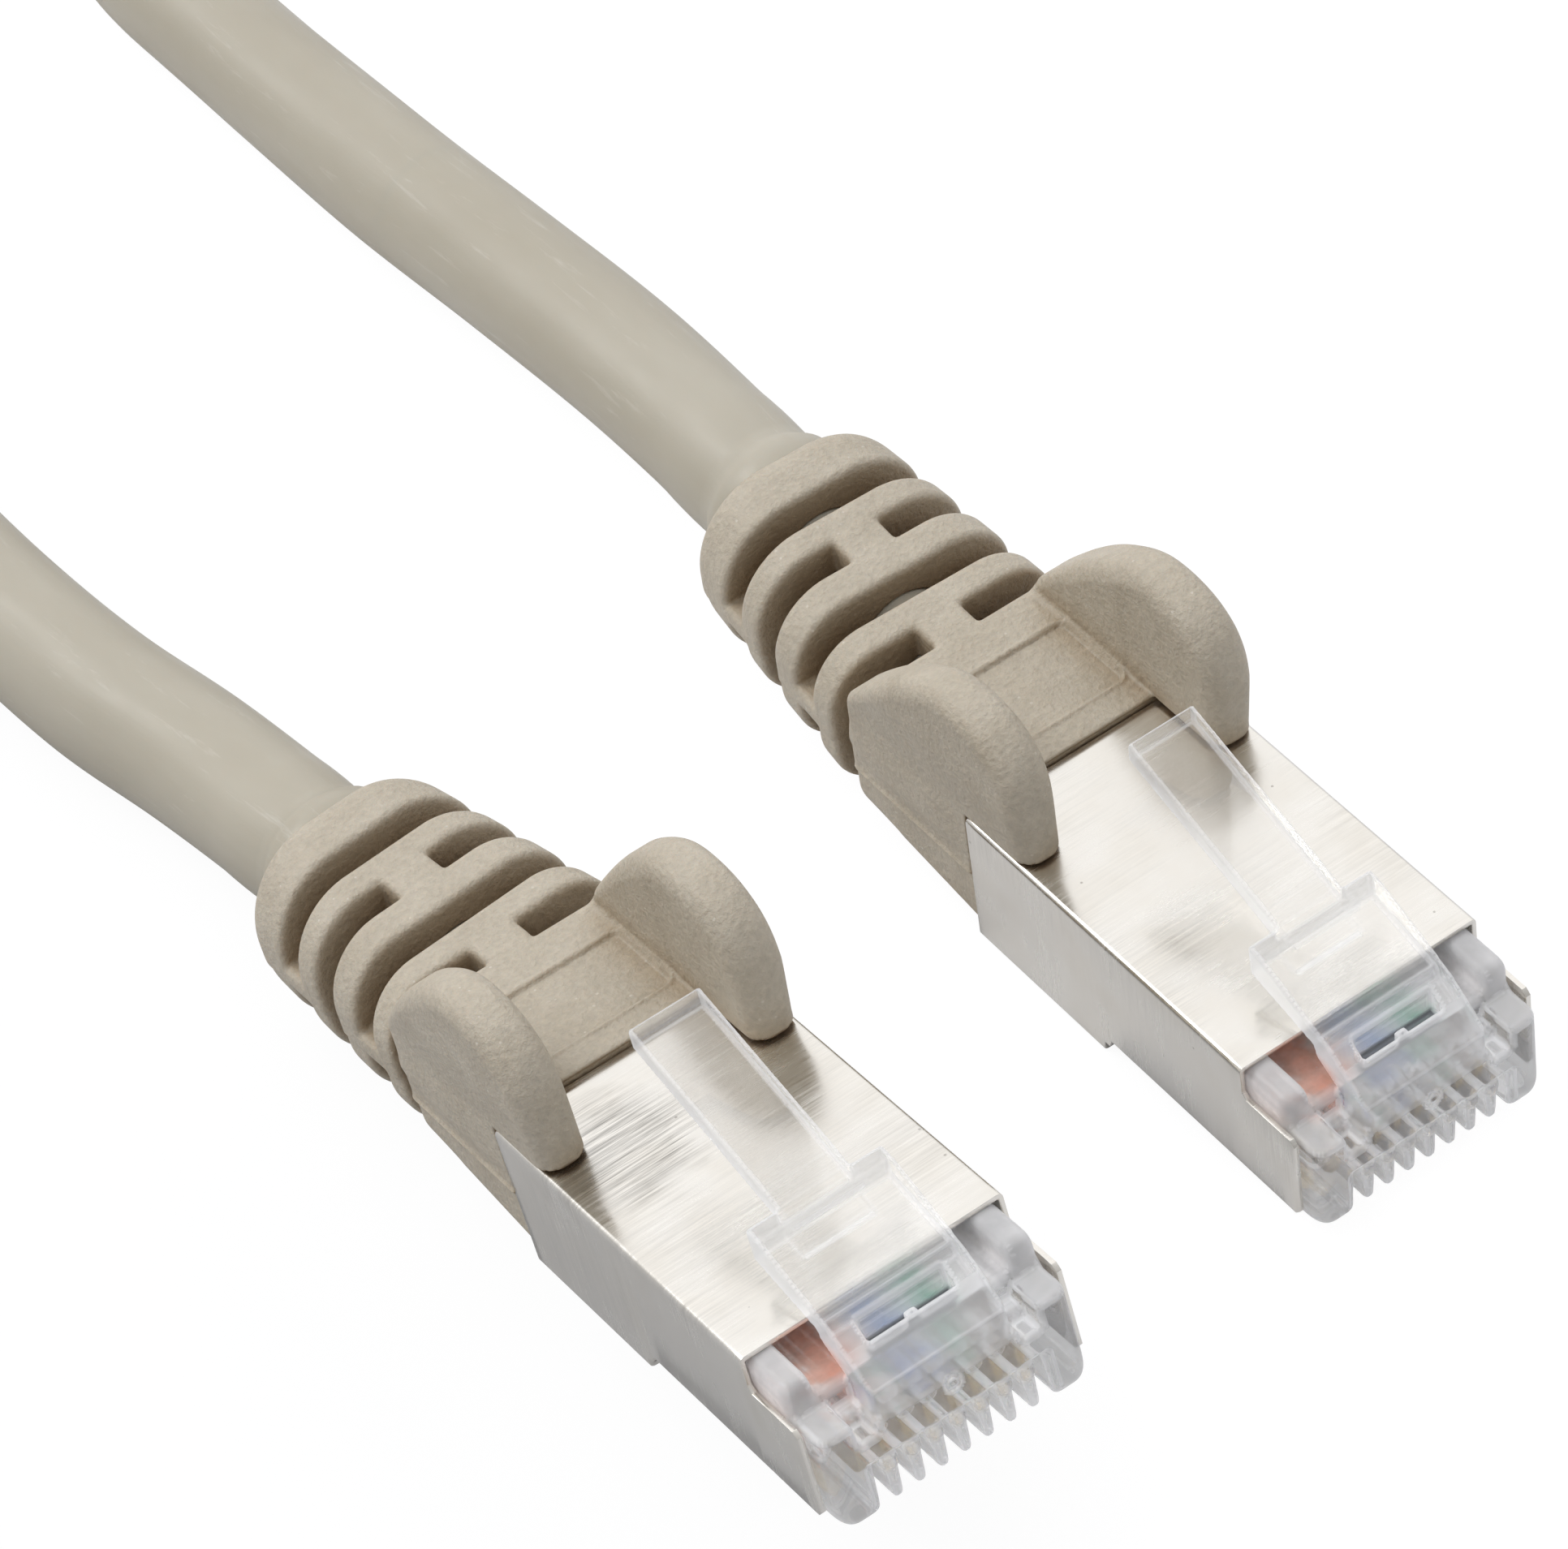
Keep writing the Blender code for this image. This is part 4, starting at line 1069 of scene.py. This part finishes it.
# sheath radius in the strain relief: length along the cable counted from y 30.1, radius
SQUEEZE = ([30.1, 30.75, 40.8, 42.2, 42.9, 43.9, 44.15, 44.4, 45.5, 48.0],
           [0.45, 2.15, 2.15, 3.15, 3.36, 3.42, 3.08, 2.94, 3.0, 3.2])
FREE_FROM, FREE_OVER = 14.2, 4.0            # the squeeze fades from here, over this length
LOOP_JOINTS = ["loop_follow_leg_b", "loop_follow_1", "loop_follow_2", "loop_follow_3",
               "loop_open", "loop_follow_6", "loop_follow_7", "loop_follow_8",
               "loop_follow_leg_a"]
LOOP_END = {"b": 0, "a": -1}                # which end of the loop each side meets


def joint_at(name):
    return np.array(joints[name]["pos_m"]) / MM


corner = [joint_at(name) for name in LOOP_JOINTS]
middles = [(a + b) / 2 for a, b in zip(corner, corner[1:])]
headings = [(b - a) / np.linalg.norm(b - a) for a, b in zip(corner, corner[1:])]
swing = {side: joint_at(f"cable_swing_{side}") for side in "ab"}
cable_height = corner[0][2]
loop_y = corner[0][1] - np.linalg.norm(corner[1] - corner[0]) / 2


def lumpy_radius(angle, along):
    """Radius round the sheath, with the slow lumps that the twisted pairs press into it."""
    oval = 0.017 * np.sin(2 * angle - along * 2 * math.pi / 41.0)
    three_sided = 0.009 * np.sin(3 * angle + along * 2 * math.pi / 27.0 + 1.0)
    swell = 0.006 * math.sin(along * 0.31)
    return JACKET_RADIUS * (1 + oval + three_sided + swell) - 0.05


def tube(name, centre, arc_start, start_heading, end_heading, squeeze=None, squeezed_end=0):
    """Sheath along points in mm, world; returns the piece and the cable length at its end.

    squeeze holds a radius per ring, followed near the ring squeezed_end.
    """
    centre = np.asarray(centre, float)
    heading = np.gradient(centre, axis=0)
    heading /= np.linalg.norm(heading, axis=1)[:, None]
    for row, given in ((0, start_heading), (-1, end_heading)):
        if given is not None:
            heading[row] = np.asarray(given) / np.linalg.norm(given)
    arc = arc_start + lengths(centre)
    side = np.cross(heading, (0, 0, 1.0))
    side /= np.linalg.norm(side, axis=1)[:, None]
    up = np.cross(side, heading)
    angle = np.linspace(0, 2 * math.pi, JACKET_SEGMENTS, endpoint=False)
    around_x, around_z = np.cos(angle)[:, None], np.sin(angle)[:, None]
    points, loc = [], []
    for i in range(len(centre)):
        radius = lumpy_radius(angle, arc[i])
        if squeeze is not None:
            inward = abs(i - squeezed_end) * CABLE_STEP
            free = min(1.0, max(0.0, (inward - FREE_FROM) / FREE_OVER))
            radius = squeeze[i] * (1 - free) + radius * free
        points.append(centre[i] + radius[:, None] * (around_x * side[i] + around_z * up[i]))
        along = np.full(JACKET_SEGMENTS, arc[i])
        loc.append(np.stack([3.0 * np.cos(angle), along, 3.0 * np.sin(angle)], 1))
    faces = []
    for i in range(len(centre) - 1):
        here, after = i * JACKET_SEGMENTS, (i + 1) * JACKET_SEGMENTS
        for k in range(JACKET_SEGMENTS):
            k2 = (k + 1) % JACKET_SEGMENTS
            faces.append((here + k, after + k, after + k2, here + k2))
    last = (len(centre) - 1) * JACKET_SEGMENTS
    faces.append(tuple(range(JACKET_SEGMENTS)))
    faces.append(tuple(last + k for k in range(JACKET_SEGMENTS - 1, -1, -1)))
    mesh = bpy.data.meshes.new(name)
    mesh.from_pydata((np.concatenate(points) * MM).tolist(), [], faces)
    with editing(mesh) as edit:
        bmesh.ops.recalc_face_normals(edit, faces=edit.faces)
    mesh.shade_smooth()
    mesh.set_sharp_from_angle(angle=math.radians(50))
    put_loc(mesh, np.concatenate(loc))
    return new_object(name, mesh, JACKET_PVC), arc[-1]


def lengths(points):
    """Length along a line at each of its points."""
    steps = np.linalg.norm(np.diff(points, axis=0), axis=1)
    return np.concatenate([[0], np.cumsum(steps)])


def resample(knots, step=CABLE_STEP):
    """Centripetal Catmull-Rom curve through knots, evenly spaced."""
    def between(u, start, end, a, b):
        return (end - u) / (end - start) * a + (u - start) / (end - start) * b

    knots = np.asarray(knots, float)
    knots = np.vstack([2 * knots[0] - knots[1], knots, 2 * knots[-1] - knots[-2]])
    curve = []
    for i in range(1, len(knots) - 2):
        p0, p1, p2, p3 = knots[i - 1:i + 3]
        t = [0.0]
        for a, b in ((p0, p1), (p1, p2), (p2, p3)):
            t.append(t[-1] + max(np.linalg.norm(b - a), 1e-6) ** 0.5)
        for u in np.linspace(t[1], t[2], 60, endpoint=False):
            a1 = between(u, t[0], t[1], p0, p1)
            a2 = between(u, t[1], t[2], p1, p2)
            a3 = between(u, t[2], t[3], p2, p3)
            b1 = between(u, t[0], t[2], a1, a2)
            b2 = between(u, t[1], t[3], a2, a3)
            curve.append(between(u, t[1], t[2], b1, b2))
    curve.append(knots[-2])
    curve = np.array(curve)
    along = lengths(curve)
    count = max(int(round(along[-1] / step)), 3)
    even = np.linspace(0, along[-1], count + 1)
    return np.stack([np.interp(even, along, curve[:, i]) for i in range(3)], 1)


def round_corner(start, hinge, end, count=26, reach=0.72):
    """Rounded corner drawn towards the hinge, so that it stays near it when the loop opens."""
    u = np.linspace(0, 1, count)[:, None]
    pull_start, pull_end = start + reach * (hinge - start), end + reach * (hinge - end)
    return ((1 - u) ** 3 * start + 3 * (1 - u) ** 2 * u * pull_start
            + 3 * (1 - u) * u ** 2 * pull_end + u ** 3 * end)


def tail_point(side, y):
    """World point (mm) on the cable's axis in the strain relief, y measured along the plug."""
    point, _ = swayed(np.array([[0.0, y, cable_z(y)]]), side, 29.0, 30.4)
    return np.array(in_world(side, *point[0])) / MM


def settled(side):
    """Centre line from the boot down onto the table and along to the loop."""
    leg_x = corner[LOOP_END[side]][0]
    hinge = swing[side]
    above_leg = np.array([leg_x, hinge[1], hinge[2]])
    leg = np.array([leg_x, hinge[1], cable_height])
    way_down = {
        "b": [hinge + (0.02, 0, -0.05), above_leg + (0.47, 9.5, -0.50),
              leg + (0.16, 19.0, 0.28), leg + (0.02, 28.5, 0)],
        "a": [hinge + (-0.02, -0.6, 0.12), leg + (0.80, 5.6, 0),
              leg + (0.20, 13.2, 0), leg + (0, 24.0, 0)]}
    to_loop = [np.array([leg_x, loop_y - back, cable_height]) for back in (6.0, 0.0)]
    return resample([tail_point(side, y) for y in TAIL_Y] + way_down[side] + to_loop)


def runs(side):
    """The tail and the leg of one side, both heading away from the plug, cut past the swing."""
    line = settled(side)
    cut_at = int(np.argmin(np.abs(line[:, 1] - (swing[side][1] + 16.0))))
    end = LOOP_END[side]
    bend = round_corner(line[-1], corner[end], middles[end])
    tail = line[:cut_at + 1]
    near = int(np.argmin(np.linalg.norm(line - swing[side], axis=1)))
    return {"tail": tail, "leg": np.vstack([line[cut_at:], bend[1:]]),
            "heading": line[cut_at + 1] - line[cut_at - 1],
            "radius": np.interp(TAIL_Y[0] + lengths(tail), *SQUEEZE),
            "swing_span": (line[max(near - 13, 0)], line[min(near + 13, cut_at)]),
            "loop_span": (line[-1], middles[end])}


def bind_jacket(piece, bodies, span, *replaced):
    bind(piece, replaced)


def bind_tail(piece, side, run):
    bind_jacket(piece, (f"tail_{side}", f"leg_{side}"), run["swing_span"], f"jacket_tail_{side}")


def bind_leg(piece, side, bend, run):
    bind_jacket(piece, (f"leg_{side}", bend), run["loop_span"], f"jacket_leg_{side}")


def build_jacket():
    """From plug b round the loop to plug a, lumps and grain carrying on across every seam."""
    run = runs("b")
    piece, arc = tube("jacket_tail_run_b", run["tail"], 0.0, None, run["heading"],
                      squeeze=run["radius"])
    bind_tail(piece, "b", run)
    piece, arc = tube("jacket_leg_run_b", run["leg"], arc, run["heading"], headings[0])
    bind_leg(piece, "b", "bend_1", run)
    for k in range(1, 8):
        path = round_corner(middles[k - 1], corner[k], middles[k])
        piece, arc = tube(f"jacket_loop_run_{k}", path, arc, headings[k - 1], headings[k])
        replaced = [f"jacket_bend_{k}"] + (["jacket_bend_8"] if k == 7 else [])
        bind_jacket(piece, (f"bend_{k}", f"bend_{k + 1}"), (middles[k - 1], middles[k]),
                    *replaced)
    run = runs("a")
    piece, arc = tube("jacket_leg_run_a", run["leg"][::-1], arc, headings[7], -run["heading"])
    bind_leg(piece, "a", "bend_8", run)
    piece, arc = tube("jacket_tail_run_a", run["tail"][::-1], arc, -run["heading"], None,
                      squeeze=run["radius"][::-1], squeezed_end=len(run["tail"]) - 1)
    bind_tail(piece, "a", run)


# ---- stage, light, camera ----------------------------------------------------------------------
def floor_material():
    """Plain pale paper: bright to the camera, a softer grey to whatever stands on it."""
    n = Material("floor_paper", from_loc=False)
    paper = n.ramp(n.noise(scale=0.02, detail=2.0),
                   [(0.3, (0.71, 0.715, 0.735)), (0.7, (0.74, 0.745, 0.765))])
    # painted shade: the paper's colour is darker towards -X, standing in for the light falling off across the set
    x = n.xyz()["X"]
    n.set("Base Color", n.multiply(paper, n.remap(x, span=(-24.0, 2.0), to=(0.64, 1.0))))
    n.set("Roughness", 0.8)
    n.set("Specular IOR Level", 0.1)
    glow = n.coloured("Emission", WHITE)
    glow.inputs["Strength"].default_value = 1.085
    seen = n.times(n.ray("Is Camera Ray"), 0.86)
    n.finish(n.mix_shader(n.bsdf.outputs[0], glow.outputs[0], share=seen))
    return n.material


def build_floor():
    mesh = bpy.data.meshes.new("floor")
    with editing(mesh) as edit:
        bmesh.ops.create_grid(edit, x_segments=8, y_segments=8, size=3.0)
    floor = new_object("floor", mesh, floor_material())
    floor.location = (0, 0, -0.00006)


def build_world():
    """Sky brightest towards one side, plain white to the camera."""
    world = bpy.data.worlds.new("studio")
    scene.world = world
    n = Nodes(world)
    bright_side = Vector((0.30, 0.52, 0.80)).normalized()
    facing = n.vector_math("DOT_PRODUCT", n.add("TexCoord").outputs["Generated"],
                           key=1, value=bright_side)
    # (share of the way to the bright side, light level)
    levels = ((0.0, 0.30), (0.48, 0.44), (0.70, 0.64), (0.84, 0.95), (0.93, 1.13), (1.0, 1.10))
    sky = n.ramp(n.remap(facing.outputs["Value"], span=(-1.0, 1.0)),
                 [(at, (level, level, level * 1.01)) for at, level in levels])
    background = n.tree.nodes["Background"]
    n.link(n.mix(sky, WHITE, share=n.ray("Is Camera Ray")), background.inputs["Color"])
    background.inputs["Strength"].default_value = 1.0


def softbox(name, at, size, power, reflected):
    """Rectangular light aimed at the origin."""
    light = bpy.data.lights.new(name, "AREA")
    light.shape, light.size, light.size_y, light.energy = "RECTANGLE", size[0], size[1], power
    obj = bpy.data.objects.new(name, light)
    scene.collection.objects.link(obj)
    obj.location = at
    obj.rotation_euler = (-Vector(at)).to_track_quat("-Z", "Y").to_euler()
    obj.visible_glossy = reflected


def build_camera():
    data = bpy.data.cameras.new("camera")
    camera = bpy.data.objects.new("camera", data)
    scene.collection.objects.link(camera)
    data.sensor_width = 36.0
    data.lens = 149.07
    data.clip_start, data.clip_end = 0.01, 20.0
    view = Vector((0.33574456, 0.60276531, -0.72384361)).normalized()
    right = view.cross(Vector((0.48945411, 0.54492564, 0.68080152))).normalized()
    up = right.cross(view).normalized()
    place = Vector((-0.083605, -0.198467, 0.195842))
    camera.matrix_world = axes_matrix(right, up, -view, place)
    scene.camera = camera


dress_inside()
build_mouldings()
build_boots()
build_shields()
build_jacket()
build_floor()
build_world()
softbox("key", at=(-0.40, 0.42, 0.72), size=(0.45, 0.40), power=3.0, reflected=True)
softbox("fill", at=(-0.6, -0.25, 0.55), size=(0.5, 0.5), power=0.35, reflected=False)
build_camera()
scene.cycles.transparent_max_bounces = 32
scene.cycles.max_bounces = 16
scene.cycles.transmission_bounces = 16
scene.view_settings.view_transform = "Standard"
